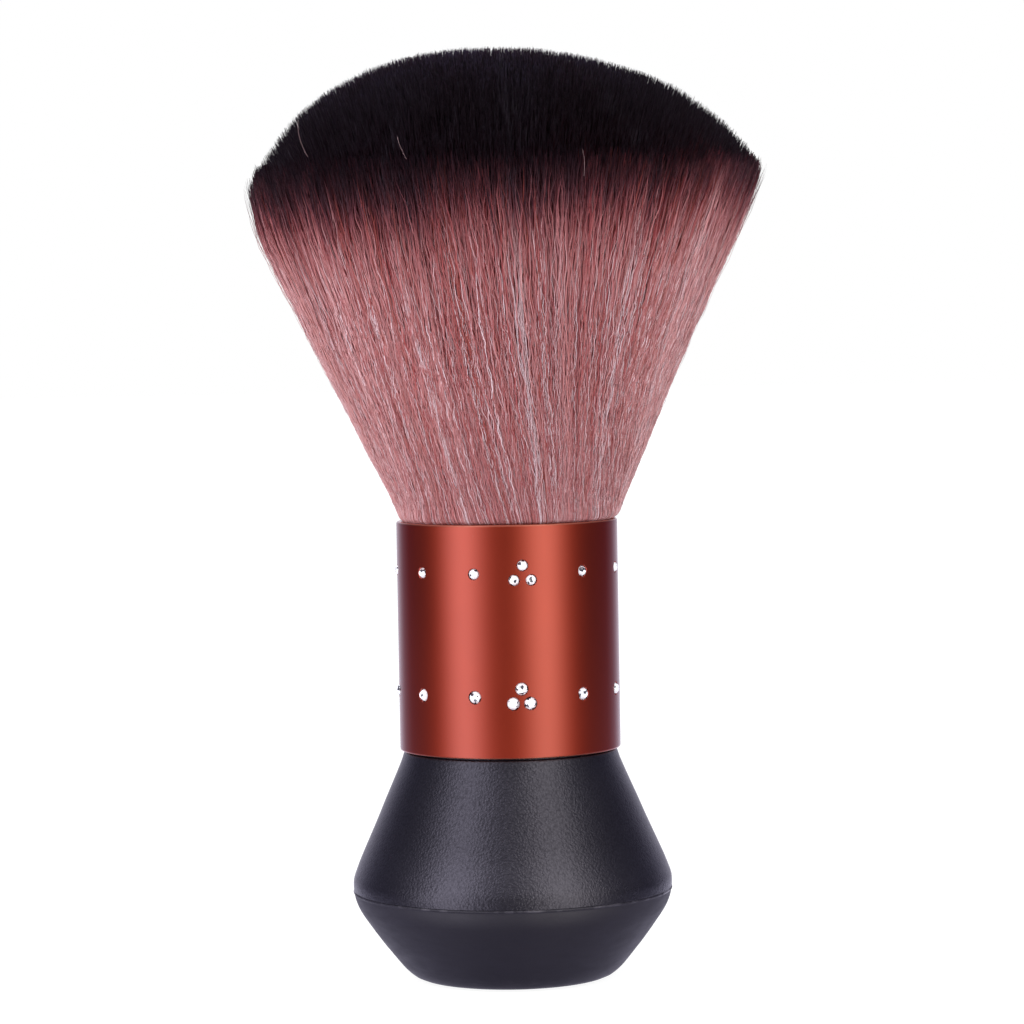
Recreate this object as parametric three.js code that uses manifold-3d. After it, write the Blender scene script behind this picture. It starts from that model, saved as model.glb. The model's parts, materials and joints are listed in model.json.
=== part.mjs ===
// Neck duster brush: a domed tuft of soft filaments in a metal ferrule, on a hollow bell-shaped base.
// Millimetres, +Z up. The origin is the centre of the foot plane, and the tuft points along +Z.
import * as THREE from 'three';
import { ConvexGeometry } from 'three/addons/geometries/ConvexGeometry.js';
import { mergeVertices } from 'three/addons/utils/BufferGeometryUtils.js';
import Module from 'manifold-3d';

const wasm = await Module();
wasm.setup();

// ---------------------------------------------------------------- driving dimensions
const OVERALL_HEIGHT = 157.6;

// base: lower cup and upper shell, split at a parting line
const FOOT_RADIUS = 16.0;
const FOOT_RECESS_RADIUS = 11.4;
const FOOT_RECESS_DEPTH = 0.6;
const FOOT_FLOOR = 2.0;
const BASE_MAX_RADIUS = 27.2;
const PARTING_Z = 14.95;
const PARTING_GAP = 0.2;
const SHOULDER_Z = 38.65;
const SHOULDER_RADIUS = 18.2;

// snap joint between the two base mouldings
const TONGUE_RADIUS = 25.1;
const TONGUE_WALL = 1.3;
const TONGUE_TOP_Z = 18.05;
const SNAP_GAP = 0.25;
const SNAP_BEAD = 0.4; // how far the tongue's bead and the rim's groove reach outwards

// ferrule
const FERRULE_RADIUS = 18.8;
const FERRULE_WALL = 1.0;
const FERRULE_BORE_RADIUS = FERRULE_RADIUS - FERRULE_WALL;
const FERRULE_BOTTOM_Z = SHOULDER_Z + 0.25;
const FERRULE_TOP_Z = 77.85;
const FERRULE_LIP_RADIUS = 17.3;
const FERRULE_LIP_DEPTH = 1.4;

// neck spigot that enters the ferrule
const NECK_RADIUS = FERRULE_BORE_RADIUS - 0.4;
const NECK_BORE_RADIUS = 15.2;
const NECK_TOP_Z = 48.65;
const NECK_RIB = {
  count: 8,
  width: 1.2,
  height: 7.5,
  proud: 0.3, // outside the neck
  sunk: 0.6, // into the neck wall
  middleZ: SHOULDER_Z + 4.6,
};

// stones
const SEAT_DEPTH = 0.6;
const SEAT_CLEARANCE = 0.08;
const SEAT_CUTTER_LENGTH = 2;
const SEAT_FLOOR_RADIUS = FERRULE_RADIUS - SEAT_DEPTH;
const STONE_LIFT = 0.05;

// A cluster is one stone above a pair.
const CLUSTER_PAIR_DEG = 8.9;
const CLUSTER_RISE = 2.42; // from the pair up to the top stone
const CLUSTER_TOP_OFFSET = 1.36; // from the row's height up to the top stone

// Station angles are in degrees about +Z, from the -Y side towards +X.
const STONE_ROWS = [
  {
    name: 'gem_upper', z: 69.7, radius: 0.9, height: 0.85,
    clusters: [7.7, 187.7],
    singles: [41.8, 75.5, 110, 144, 213.5, 245, 276, 310.6, 342.3],
  },
  {
    name: 'gem_lower', z: 49.2, radius: 1.05, height: 0.95,
    clusters: [6.3, 186.3],
    singles: [41.2, 73.2, 108, 142.5, 212, 244, 275.5, 309.8, 341.9],
  },
];

// Rings of a cut stone, as fractions of its radius and height; turn is in steps of the ring.
const STONE_RINGS = [
  { radius: 0.93, height: 0, sides: 16, turn: 0 }, // flat back
  { radius: 1, height: 0.22, sides: 16, turn: 0 }, // girdle
  { radius: 0.80, height: 0.70, sides: 8, turn: 0.5 }, // crown
  { radius: 0.53, height: 1, sides: 8, turn: 0 }, // table
];

// inside the ferrule
const STACK_GAP = 0.2; // between cup floor, plug and tuft
const CUP_RADIUS = FERRULE_BORE_RADIUS - 0.2;
const CUP_WALL = 1.3;
const CUP_BOTTOM_Z = NECK_TOP_Z + 0.3;
const CUP_FLOOR_Z = CUP_BOTTOM_Z + 1.5;
const CUP_TOP_Z = CUP_BOTTOM_Z + 19;
const CUP_EDGE = 0.5;
const PLUG_RADIUS = 16.0;
const PLUG_BOTTOM_Z = CUP_FLOOR_Z + STACK_GAP;
const PLUG_TOP_Z = 56.85;
const BINDING = {
  innerRadius: 15.35,
  outerRadius: 16.0,
  grooveDepth: 0.25,
  bottomZ: 58.75,
  pitch: 0.75,
  turns: 4,
};

// tuft: [half-width, height above the foot]
const TUFT_ROOT_Z = PLUG_TOP_Z + STACK_GAP;
const TUFT_OUTLINE = [
  // gathered root and throat
  [15.4, TUFT_ROOT_Z], [15.4, 57.95], [15.1, 58.45], [15.1, 61.95], [15.5, 62.75],
  [16.3, 71.45], [17.05, 76.15], [17.05, 77.95],
  // flare
  [18.2, 78.4], [18.9, 79.25], [19.55, 81.0], [21.15, 84.45], [25.85, 94.65],
  [30.65, 104.85], [33.8, 111.65], [37.1, 118.45], [40.2, 125.2], [41.45, 128.65],
  // rounded shoulder and dome
  [42.45, 131.9], [43.0, 133.8], [43.15, 135.2], [42.95, 136.8], [42.0, 138.5],
  [40.5, 140.4], [38.9, 142.4], [37.0, 144.4], [34.75, 146.4], [32.1, 148.4],
  [29.0, 150.4], [25.2, 152.3], [21.0, 153.95], [16.4, 155.4], [11.0, 156.65], [5.5, 157.35],
];

const SHELL_SEGMENTS = 64;
const FERRULE_SEGMENTS = 66;
const SEAT_SEGMENTS = 16;
const INNER_SEGMENTS = 36;
const TUFT_SEGMENTS = 54;

// ---------------------------------------------------------------- finishes
const FINISH = {
  filament: { color: 0x8c4b50, roughness: 0.7, metalness: 0.0 },
  anodised: { color: 0xa8401f, roughness: 0.32, metalness: 0.9 },
  stone: { color: 0xe6e8ee, roughness: 0.08, metalness: 0.2 },
  shell: { color: 0x141318, roughness: 0.5, metalness: 0.0 },
  cup: { color: 0x24222b, roughness: 0.6, metalness: 0.0 },
  inner: { color: 0xcfcac0, roughness: 0.6, metalness: 0.0 },
  glue: { color: 0xb9a57a, roughness: 0.35, metalness: 0.0 },
  thread: { color: 0xd8d2c6, roughness: 0.85, metalness: 0.0 },
};

// ---------------------------------------------------------------- geometry helpers

// Keeps positions only, merges shared corners, drops collapsed triangles and turns faces outwards.
function closed(source) {
  let geometry = source.clone();
  for (const name of Object.keys(geometry.attributes)) {
    if (name !== 'position') geometry.deleteAttribute(name);
  }
  geometry = mergeVertices(geometry, 1e-5);
  const positions = geometry.getAttribute('position');
  const corners = geometry.getIndex().array;
  const corner = (index) => new THREE.Vector3().fromBufferAttribute(positions, index);
  const triangles = [];
  let volume = 0;
  for (let i = 0; i < corners.length; i += 3) {
    const [first, second, third] = corners.slice(i, i + 3);
    if (first === second || second === third || first === third) continue;
    triangles.push([first, second, third]);
    volume += corner(first).dot(corner(second).cross(corner(third))) / 6;
  }
  // A negative volume means that the faces point inwards.
  const outward = volume < 0 ? triangles.map(([p, q, r]) => [p, r, q]) : triangles;
  geometry.setIndex(outward.flat());
  return geometry;
}

// A solid of revolution about Z from [radius, height] corners.
function turned(outline, segments, { closeLoop = false } = {}) {
  const points = outline.map(([radius, z]) => new THREE.Vector2(radius, z));
  if (closeLoop) points.push(points[0].clone());
  const geometry = new THREE.LatheGeometry(points, segments);
  geometry.rotateX(Math.PI / 2);
  return closed(geometry);
}

function toManifold(source) {
  const geometry = closed(source);
  return new wasm.Manifold(new wasm.Mesh({
    numProp: 3,
    vertProperties: new Float32Array(geometry.getAttribute('position').array),
    triVerts: new Uint32Array(geometry.getIndex().array),
  }));
}

function fromManifold(solid) {
  const { vertProperties, triVerts } = solid.getMesh();
  const geometry = new THREE.BufferGeometry();
  geometry.setAttribute('position', new THREE.BufferAttribute(vertProperties, 3));
  geometry.setIndex(new THREE.BufferAttribute(triVerts, 1));
  return geometry;
}

// ---------------------------------------------------------------- base

// A tapered cup with a rounded foot edge, a shallow recess underneath
// and a snap tongue that stands up inside its rim.
function baseLowerCup() {
  const rimZ = PARTING_Z - PARTING_GAP / 2;
  const tongueInner = TONGUE_RADIUS - TONGUE_WALL;
  const floorZ = FOOT_RECESS_DEPTH + FOOT_FLOOR;
  return turned([
    // underside and foot edge
    [0, FOOT_RECESS_DEPTH],
    [FOOT_RECESS_RADIUS - 0.5, FOOT_RECESS_DEPTH],
    [FOOT_RECESS_RADIUS, 0],
    [FOOT_RADIUS, 0],
    [FOOT_RADIUS + 0.6, 0.12],
    [FOOT_RADIUS + 1.2, 0.45],
    // outer wall
    [17.85, 0.95], [18.6, 1.65], [19.65, 2.85], [20.45, 3.85], [22.05, 5.85], [23.6, 7.95],
    [25.0, 9.95], [25.75, 11.1], [26.35, 12.2], [26.8, 13.3],
    [BASE_MAX_RADIUS - 0.12, 14.3],
    [BASE_MAX_RADIUS - 0.15, rimZ - 0.15],
    [BASE_MAX_RADIUS - 0.3, rimZ],
    // tongue with its bead
    [TONGUE_RADIUS, rimZ],
    [TONGUE_RADIUS, 16.7],
    [TONGUE_RADIUS + SNAP_BEAD, 17.15],
    [TONGUE_RADIUS + SNAP_BEAD, 17.5],
    [TONGUE_RADIUS - 0.1, TONGUE_TOP_Z],
    [tongueInner, TONGUE_TOP_Z],
    // inner wall and floor
    [tongueInner, 12.65],
    [21.4, 8.85],
    [17.2, floorZ + 0.5],
    [16.2, floorZ],
    [0, floorZ],
  ], SHELL_SEGMENTS);
}

function neckRib(index) {
  const depth = NECK_RIB.proud + NECK_RIB.sunk;
  const rib = new THREE.BoxGeometry(NECK_RIB.width, depth, NECK_RIB.height);
  rib.translate(0, -(NECK_RADIUS + NECK_RIB.proud - depth / 2), NECK_RIB.middleZ);
  rib.rotateZ((index + 0.5) * 2 * Math.PI / NECK_RIB.count);
  return toManifold(rib);
}

// A hollow cone that rolls over at its widest part, with a snap groove inside its rim
// and a ribbed neck on top.
function baseUpperShell() {
  const rimZ = PARTING_Z + PARTING_GAP / 2;
  const rimInner = TONGUE_RADIUS + SNAP_GAP;
  let shell = toManifold(turned([
    // rim and outer wall
    [rimInner, rimZ],
    [BASE_MAX_RADIUS - 0.2, rimZ],
    [BASE_MAX_RADIUS - 0.05, rimZ + 0.15],
    [BASE_MAX_RADIUS, 15.7],
    [BASE_MAX_RADIUS - 0.03, 16.5],
    [BASE_MAX_RADIUS - 0.2, 17.4],
    [26.5, 18.8], [26.05, 20.0], [25.5, 21.3], [24.12, 24.3], [21.5, 30.35], [18.96, 36.35],
    // shoulder and neck
    [SHOULDER_RADIUS + 0.25, 37.7],
    [SHOULDER_RADIUS + 0.02, 38.35],
    [SHOULDER_RADIUS - 0.2, SHOULDER_Z],
    [NECK_RADIUS, SHOULDER_Z],
    [NECK_RADIUS, NECK_TOP_Z - 0.4],
    [NECK_RADIUS - 0.4, NECK_TOP_Z],
    [NECK_BORE_RADIUS, NECK_TOP_Z],
    // inner wall
    [NECK_BORE_RADIUS, 39.05],
    [16.6, 36.45], [23.3, 20.85], [24.6, 18.95],
    // snap groove
    [rimInner, 18.35],
    [rimInner + SNAP_BEAD, 17.75],
    [rimInner + SNAP_BEAD, 17.05],
    [rimInner, 16.6],
  ], SHELL_SEGMENTS, { closeLoop: true }));
  for (let i = 0; i < NECK_RIB.count; i++) shell = shell.add(neckRib(i));
  return fromManifold(shell);
}

// ---------------------------------------------------------------- stones and ferrule

// Every stone of one row as [angle in degrees, height], by rising angle.
function stonePlaces({ z, clusters, singles }) {
  const topZ = z + CLUSTER_TOP_OFFSET;
  const pairZ = topZ - CLUSTER_RISE;
  const places = singles.map((angle) => [angle, z]);
  for (const angle of clusters) {
    places.push(
      [angle, topZ],
      [angle - CLUSTER_PAIR_DEG / 2, pairZ],
      [angle + CLUSTER_PAIR_DEG / 2, pairZ],
    );
  }
  return places.sort((one, other) => one[0] - other[0]);
}

// A radial cylinder that cuts one flat-bottomed seat.
function seatCutter(stoneRadius, angle, z) {
  const radius = stoneRadius + SEAT_CLEARANCE;
  const cutter = new THREE.CylinderGeometry(radius, radius, SEAT_CUTTER_LENGTH, SEAT_SEGMENTS);
  cutter.translate(0, SEAT_FLOOR_RADIUS + SEAT_CUTTER_LENGTH / 2, 0);
  cutter.rotateZ(Math.PI); // to the -Y side, where angles start
  cutter.rotateZ(THREE.MathUtils.degToRad(angle));
  cutter.translate(0, 0, z);
  return toManifold(cutter);
}

// A thin tube with softened edges, its top lip rolled inwards, and seats for the stones.
function ferrule() {
  const tube = toManifold(turned([
    [FERRULE_BORE_RADIUS, FERRULE_BOTTOM_Z + 0.25],
    [FERRULE_BORE_RADIUS + 0.25, FERRULE_BOTTOM_Z],
    [FERRULE_RADIUS - 0.45, FERRULE_BOTTOM_Z],
    [FERRULE_RADIUS - 0.12, FERRULE_BOTTOM_Z + 0.12],
    [FERRULE_RADIUS, FERRULE_BOTTOM_Z + 0.42],
    [FERRULE_RADIUS, FERRULE_TOP_Z - 0.75],
    [FERRULE_RADIUS - 0.2, FERRULE_TOP_Z - 0.22],
    [FERRULE_RADIUS - 0.65, FERRULE_TOP_Z],
    [FERRULE_LIP_RADIUS + 0.35, FERRULE_TOP_Z - 0.05],
    [FERRULE_LIP_RADIUS, FERRULE_TOP_Z - 0.4],
    [FERRULE_LIP_RADIUS, FERRULE_TOP_Z - FERRULE_LIP_DEPTH],
    [FERRULE_BORE_RADIUS, FERRULE_TOP_Z - FERRULE_LIP_DEPTH - 0.5],
  ], FERRULE_SEGMENTS, { closeLoop: true }));
  const seats = STONE_ROWS
    .flatMap((row) => stonePlaces(row).map(([angle, z]) => seatCutter(row.radius, angle, z)))
    .reduce((joined, cutter) => joined.add(cutter));
  return fromManifold(tube.subtract(seats));
}

// A flat-backed cut stone that rises along +Z.
function stone({ radius, height }) {
  const points = STONE_RINGS.flatMap((ring) => Array.from({ length: ring.sides }, (_, i) => {
    const angle = (i + ring.turn) * 2 * Math.PI / ring.sides;
    const reach = radius * ring.radius;
    return new THREE.Vector3(
      reach * Math.cos(angle),
      reach * Math.sin(angle),
      height * ring.height,
    );
  }));
  return closed(new ConvexGeometry(points));
}

function addStoneRow(row) {
  stonePlaces(row).forEach(([degrees, z], i) => {
    const angle = THREE.MathUtils.degToRad(degrees);
    const outward = new THREE.Vector3(Math.sin(angle), -Math.cos(angle), 0);
    const mesh = add(`${row.name}_${String(i + 1).padStart(2, '0')}`, stone(row), FINISH.stone);
    mesh.position.copy(outward).multiplyScalar(SEAT_FLOOR_RADIUS + STONE_LIFT).setZ(z);
    mesh.quaternion.setFromUnitVectors(new THREE.Vector3(0, 0, 1), outward);
  });
}

// ---------------------------------------------------------------- inside the ferrule

function tuftCup() {
  return turned([
    [0, CUP_BOTTOM_Z],
    [CUP_RADIUS - CUP_EDGE, CUP_BOTTOM_Z],
    [CUP_RADIUS, CUP_BOTTOM_Z + CUP_EDGE],
    [CUP_RADIUS, CUP_TOP_Z],
    [CUP_RADIUS - CUP_WALL, CUP_TOP_Z],
    [CUP_RADIUS - CUP_WALL, CUP_FLOOR_Z],
    [0, CUP_FLOOR_Z],
  ], INNER_SEGMENTS);
}

function gluePlug() {
  return turned([
    [0, PLUG_BOTTOM_Z],
    [PLUG_RADIUS, PLUG_BOTTOM_Z],
    [PLUG_RADIUS, PLUG_TOP_Z],
    [0, PLUG_TOP_Z],
  ], INNER_SEGMENTS);
}

// A band around the root, with one ridge for each turn of thread.
function rootBinding() {
  const { innerRadius, outerRadius, grooveDepth, bottomZ, pitch, turns } = BINDING;
  const grooveRadius = outerRadius - grooveDepth;
  const topZ = bottomZ + turns * pitch;
  const outline = [];
  for (let i = 0; i < turns; i++) {
    const z = bottomZ + i * pitch;
    outline.push([grooveRadius, z], [outerRadius, z + pitch / 2]);
  }
  outline.push([grooveRadius, topZ], [innerRadius, topZ], [innerRadius, bottomZ]);
  return turned(outline, INNER_SEGMENTS, { closeLoop: true });
}

// ---------------------------------------------------------------- tuft

// The whole bundle of filaments as one solid.
function bristleTuft() {
  return turned([[0, TUFT_ROOT_Z], ...TUFT_OUTLINE, [0, OVERALL_HEIGHT]], TUFT_SEGMENTS);
}

// ---------------------------------------------------------------- assembly
const group = new THREE.Group();
group.name = 'neck_duster_brush';

function add(name, geometry, finish) {
  geometry.computeVertexNormals();
  const mesh = new THREE.Mesh(geometry, new THREE.MeshStandardMaterial({ ...finish, name }));
  mesh.name = name;
  group.add(mesh);
  return mesh;
}

add('base_lower_cup', baseLowerCup(), FINISH.cup);
add('base_upper_shell', baseUpperShell(), FINISH.shell);
add('ferrule', ferrule(), FINISH.anodised);
STONE_ROWS.forEach(addStoneRow);
add('tuft_cup', tuftCup(), FINISH.inner);
add('root_glue_plug', gluePlug(), FINISH.glue);
add('root_binding', rootBinding(), FINISH.thread);
add('bristle_tuft', bristleTuft(), FINISH.filament);

export default group;
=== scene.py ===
"""Looks of the neck duster brush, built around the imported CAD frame. Lengths below are millimetres; MM turns them into metres."""
import json
import math

import bmesh
import bpy
import numpy as np
from mathutils import Matrix, Vector

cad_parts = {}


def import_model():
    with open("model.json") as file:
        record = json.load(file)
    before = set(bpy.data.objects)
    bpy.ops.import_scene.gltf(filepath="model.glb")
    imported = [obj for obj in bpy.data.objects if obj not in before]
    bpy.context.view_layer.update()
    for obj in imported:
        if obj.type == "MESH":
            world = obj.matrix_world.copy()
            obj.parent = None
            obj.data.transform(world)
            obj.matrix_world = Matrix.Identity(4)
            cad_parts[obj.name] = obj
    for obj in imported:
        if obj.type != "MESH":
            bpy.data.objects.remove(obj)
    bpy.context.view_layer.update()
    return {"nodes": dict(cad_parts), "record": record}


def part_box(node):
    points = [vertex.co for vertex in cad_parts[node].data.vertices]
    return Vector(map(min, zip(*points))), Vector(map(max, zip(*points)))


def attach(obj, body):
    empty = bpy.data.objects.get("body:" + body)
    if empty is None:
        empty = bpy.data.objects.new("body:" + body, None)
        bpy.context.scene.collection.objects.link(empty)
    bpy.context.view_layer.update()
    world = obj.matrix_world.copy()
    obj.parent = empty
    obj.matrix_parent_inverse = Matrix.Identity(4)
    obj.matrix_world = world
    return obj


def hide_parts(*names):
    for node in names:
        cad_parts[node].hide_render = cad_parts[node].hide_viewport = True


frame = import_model()
MM = 0.001
ROOT = "root"
SEED = 20849
record = frame["record"]
scene = bpy.context.scene
scene.view_settings.view_transform = "Standard"


# ------------------------------------------------------------------ small helpers
def pchip(x, y, xi):
    """Monotone cubic through (x, y), sampled at xi, held flat outside."""
    x, y, xi = (np.asarray(a, float) for a in (x, y, xi))
    h = np.diff(x)
    d = np.diff(y) / h
    m = np.zeros_like(y)
    same = d[:-1] * d[1:] > 0
    w1, w2 = 2 * h[1:] + h[:-1], h[1:] + 2 * h[:-1]
    inner = np.zeros(len(y) - 2)
    inner[same] = (w1 + w2)[same] / (w1[same] / d[:-1][same] + w2[same] / d[1:][same])
    m[1:-1] = inner
    m[0], m[-1] = d[0], d[-1]
    q = np.clip(xi, x[0], x[-1])
    i = np.clip(np.searchsorted(x, q) - 1, 0, len(h) - 1)
    t = (q - x[i]) / h[i]
    return ((2 * t**3 - 3 * t**2 + 1) * y[i] + (t**3 - 2 * t**2 + t) * h[i] * m[i]
            + (-2 * t**3 + 3 * t**2) * y[i + 1] + (t**3 - t**2) * h[i] * m[i + 1])


def smooth01(a, b, x):
    t = np.clip((np.asarray(x, float) - a) / (b - a), 0, 1)
    return t * t * (3 - 2 * t)


def raw_mesh(name, verts, loops, starts, uv=None, uv_name="UVMap"):
    """A mesh from flat arrays: verts (n, 3) in metres, loops of vertex numbers, starts of polygons."""
    me = bpy.data.meshes.new(name)
    me.vertices.add(len(verts))
    me.vertices.foreach_set("co", np.asarray(verts, np.float32).ravel())
    me.loops.add(len(loops))
    me.loops.foreach_set("vertex_index", np.asarray(loops, np.int32))
    me.polygons.add(len(starts))
    me.polygons.foreach_set("loop_start", np.asarray(starts, np.int32))
    if uv is not None:
        layer = me.uv_layers.new(name=uv_name)
        layer.uv.foreach_set("vector", np.asarray(uv, np.float32).ravel())
    me.update(calc_edges=True)
    me.validate()
    return me


def put(name, me, material=None, body=ROOT, replaces=()):
    ob = bpy.data.objects.new(name, me)
    scene.collection.objects.link(ob)
    if material:
        me.materials.append(material)
    if body:
        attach(ob, body)
    if replaces:
        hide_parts(*replaces)
    return ob


def turned(name, outline, segments, closed=False, shape=None):
    """A solid of revolution from (r, z) points. A point on the axis becomes one vertex. shape(theta, i, r, z) may change a ring's radius."""
    verts, rings = [], []
    th = np.arange(segments) * 2 * np.pi / segments
    for i, (r, z) in enumerate(outline):
        if r < 1e-6:
            rings.append([len(verts)])
            verts.append((0, 0, z * MM))
            continue
        rr = np.full(segments, float(r)) if shape is None else shape(th, i, r, z)
        base = len(verts)
        rings.append(list(range(base, base + segments)))
        verts += [(a * math.sin(t) * MM, -a * math.cos(t) * MM, z * MM) for a, t in zip(rr, th)]
    faces = []
    pairs = [(i, i + 1) for i in range(len(rings) - 1)] + ([(len(rings) - 1, 0)] if closed else [])
    for i, j in pairs:
        a, b = rings[i], rings[j]
        for k in range(segments):
            k2 = (k + 1) % segments
            if len(a) == 1 and len(b) == 1:
                continue
            if len(a) == 1:
                faces.append((a[0], b[k2], b[k]))
            elif len(b) == 1:
                faces.append((a[k], a[k2], b[0]))
            else:
                faces.append((a[k], a[k2], b[k2], b[k]))
    me = bpy.data.meshes.new(name)
    me.from_pydata(verts, [], faces, shade_flat=False)
    me.update()
    bm = bmesh.new()
    bm.from_mesh(me)
    if bm.calc_volume(signed=True) < 0:
        bmesh.ops.reverse_faces(bm, faces=bm.faces)
    bm.to_mesh(me)
    bm.free()
    return me


def crease(me, degrees):
    me.shade_smooth()
    me.set_sharp_from_angle(angle=math.radians(degrees))


# ------------------------------------------------------------------ node material helper
class Nodes:
    def __init__(self, name):
        self.mat = bpy.data.materials.new(name)
        self.mat.use_nodes = True
        self.nt = self.mat.node_tree
        self.nt.nodes.clear()
        self.out = self.nt.nodes.new("ShaderNodeOutputMaterial")

    def node(self, kind, **values):
        n = self.nt.nodes.new(kind)
        for k, v in values.items():
            if k.startswith("_"):
                setattr(n, k[1:], v)
            else:
                key = int(k[1:]) if k[0] == "i" and k[1:].isdigit() else k.replace("__", " ")
                self.feed(n.inputs[key], v)
        return n

    def feed(self, socket, v):
        if isinstance(v, bpy.types.NodeSocket):
            self.nt.links.new(v, socket)
        elif isinstance(v, bpy.types.Node):
            self.nt.links.new(v.outputs[0], socket)
        else:
            socket.default_value = v

    def coord(self, kind="Object"):
        return self.node("ShaderNodeTexCoord").outputs[kind]

    def mapped(self, vector, scale=(1, 1, 1), location=(0, 0, 0)):
        return self.node("ShaderNodeMapping", Vector=vector, Scale=scale, Location=location).outputs[0]

    def noise(self, vector, scale, detail=2.0, rough=0.5, distortion=0.0, dims="3D"):
        n = self.node("ShaderNodeTexNoise", _noise_dimensions=dims, Scale=scale, Detail=detail, Roughness=rough, Distortion=distortion)
        self.feed(n.inputs["Vector"], vector)
        return n.outputs["Fac"]

    def voronoi(self, vector, scale, feature="F1", output="Distance", rand=1.0, smooth=None):
        n = self.node("ShaderNodeTexVoronoi", _feature=feature, Scale=scale)
        n.inputs["Randomness"].default_value = rand
        if smooth is not None and "Smoothness" in n.inputs:
            n.inputs["Smoothness"].default_value = smooth
        self.feed(n.inputs["Vector"], vector)
        return n.outputs[output]

    def math(self, op, a, b=0.0, c=0.0, clamp=False):
        n = self.node("ShaderNodeMath", _operation=op, _use_clamp=clamp)
        self.feed(n.inputs[0], a)
        self.feed(n.inputs[1], b)
        self.feed(n.inputs[2], c)
        return n.outputs[0]

    def ramp(self, fac, stops, interpolation="LINEAR"):
        n = self.node("ShaderNodeValToRGB")
        n.color_ramp.interpolation = interpolation
        els = n.color_ramp.elements
        while len(els) > len(stops):
            els.remove(els[-1])
        while len(els) < len(stops):
            els.new(1.0)
        for e, (p, c) in zip(els, stops):
            e.position = p
            c = (c, c, c) if isinstance(c, (int, float)) else c
            e.color = (*c[:3], 1.0)
        self.feed(n.inputs[0], fac)
        return n.outputs[0]

    def spread(self, value, a, b, lo=0.0, hi=1.0):
        n = self.node("ShaderNodeMapRange", _clamp=True)
        for k, v in zip(("Value", "From Min", "From Max", "To Min", "To Max"), (value, a, b, lo, hi)):
            self.feed(n.inputs[k], v)
        return n.outputs[0]

    def mix(self, fac, a, b, blend="MIX"):
        n = self.node("ShaderNodeMix", _data_type="RGBA", _blend_type=blend)
        self.feed(n.inputs[0], fac)
        self.feed(n.inputs[6], a if not isinstance(a, tuple) else (*a[:3], 1.0))
        self.feed(n.inputs[7], b if not isinstance(b, tuple) else (*b[:3], 1.0))
        return n.outputs[2]

    def xyz(self, vector):
        return self.node("ShaderNodeSeparateXYZ", Vector=vector).outputs

    def bump(self, height, distance, strength=1.0, normal=None):
        n = self.node("ShaderNodeBump", Height=height, Distance=distance, Strength=strength)
        if normal is not None:
            self.feed(n.inputs["Normal"], normal)
        return n.outputs[0]

    def principled(self, **values):
        return self.node("ShaderNodeBsdfPrincipled", **values)

    def finish(self, shader):
        self.feed(self.out.inputs["Surface"], shader)
        return self.mat


# ------------------------------------------------------------------ materials
def anodised_material():
    m = Nodes("anodised_copper")
    p = m.coord()
    x, y, z = m.xyz(p)
    angle = m.math("ARCTAN2", x, y)
    # fine turning lines run round the tube, so they change only with height
    turning = m.noise(m.node("ShaderNodeCombineXYZ", X=m.math("MULTIPLY", angle, 0.006), Y=0.0, Z=z).outputs[0], 5200, 3, 0.65)
    cloud = m.noise(p, 55, 3, 0.55)
    smudge = m.noise(m.mapped(p, (1, 1, 0.45)), 150, 4, 0.6, 0.4)
    specks = m.voronoi(p, 620, "F1", "Distance")
    speck = m.math("MULTIPLY", m.math("LESS_THAN", specks, 0.045), m.math("GREATER_THAN", m.noise(p, 240, 1), 0.60))
    base = m.mix(m.spread(cloud, 0.35, 0.7), (0.590, 0.063, 0.027), (0.615, 0.068, 0.031))
    base = m.mix(m.math("MULTIPLY", m.spread(smudge, 0.52, 0.78), 0.10), base, (0.50, 0.060, 0.042))
    # the dye is thinner on the rounded edges, and their lighter colour is also a painted highlight: the thin bright
    # line along the lip and the bottom edge
    thin_dye_and_highlight_edge = m.math("MAXIMUM", m.spread(z, 0.07752, 0.07772), m.spread(z, 0.03915, 0.03898))
    base = m.mix(m.math("MULTIPLY", thin_dye_and_highlight_edge, 0.80), base, (0.86, 0.34, 0.22))
    base = m.mix(m.math("MULTIPLY", speck, 0.35), base, (0.62, 0.25, 0.18))
    rough = m.math("ADD", m.spread(smudge, 0.3, 0.8, 0.405, 0.440), m.math("ADD", m.spread(turning, 0.3, 0.7, -0.010, 0.010), m.spread(z, 0.060, 0.040, 0.0, 0.035)))
    height = m.math("ADD", turning, m.math("MULTIPLY", m.noise(p, 900, 2), 0.3))
    s = m.principled(Base__Color=base, Metallic=1.0, Roughness=rough, Normal=m.bump(height, 0.0000014, 0.5))
    s.inputs["Specular Tint"].default_value = (0.30, 0.13, 0.15, 1.0)      # light leaves the dyed oxide darker at a glancing angle
    s.inputs["Coat Weight"].default_value = 1.0
    s.inputs["Coat Roughness"].default_value = 0.17
    s.inputs["Coat IOR"].default_value = 1.58
    return m.finish(s)


def grain_height(m, p, cell):
    """Moulded spark-eroded grain: soft pebbles with finer noise over them."""
    warp = m.noise(p, cell * 0.35, 2, 0.5)
    q = m.node("ShaderNodeVectorMath", _operation="ADD")
    m.feed(q.inputs[0], p)
    m.feed(q.inputs[1], m.node("ShaderNodeCombineXYZ", X=m.math("MULTIPLY", warp, 0.0006), Y=m.math("MULTIPLY", warp, 0.0004), Z=m.math("MULTIPLY", warp, 0.0005)).outputs[0])
    pebbles = m.voronoi(q.outputs[0], cell, "SMOOTH_F1", "Distance", 1.0, 0.6)
    fine = m.noise(p, cell * 2.4, 3, 0.6)
    return m.math("ADD", m.math("MULTIPLY", pebbles, -0.75), m.math("MULTIPLY", fine, 0.45))


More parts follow.
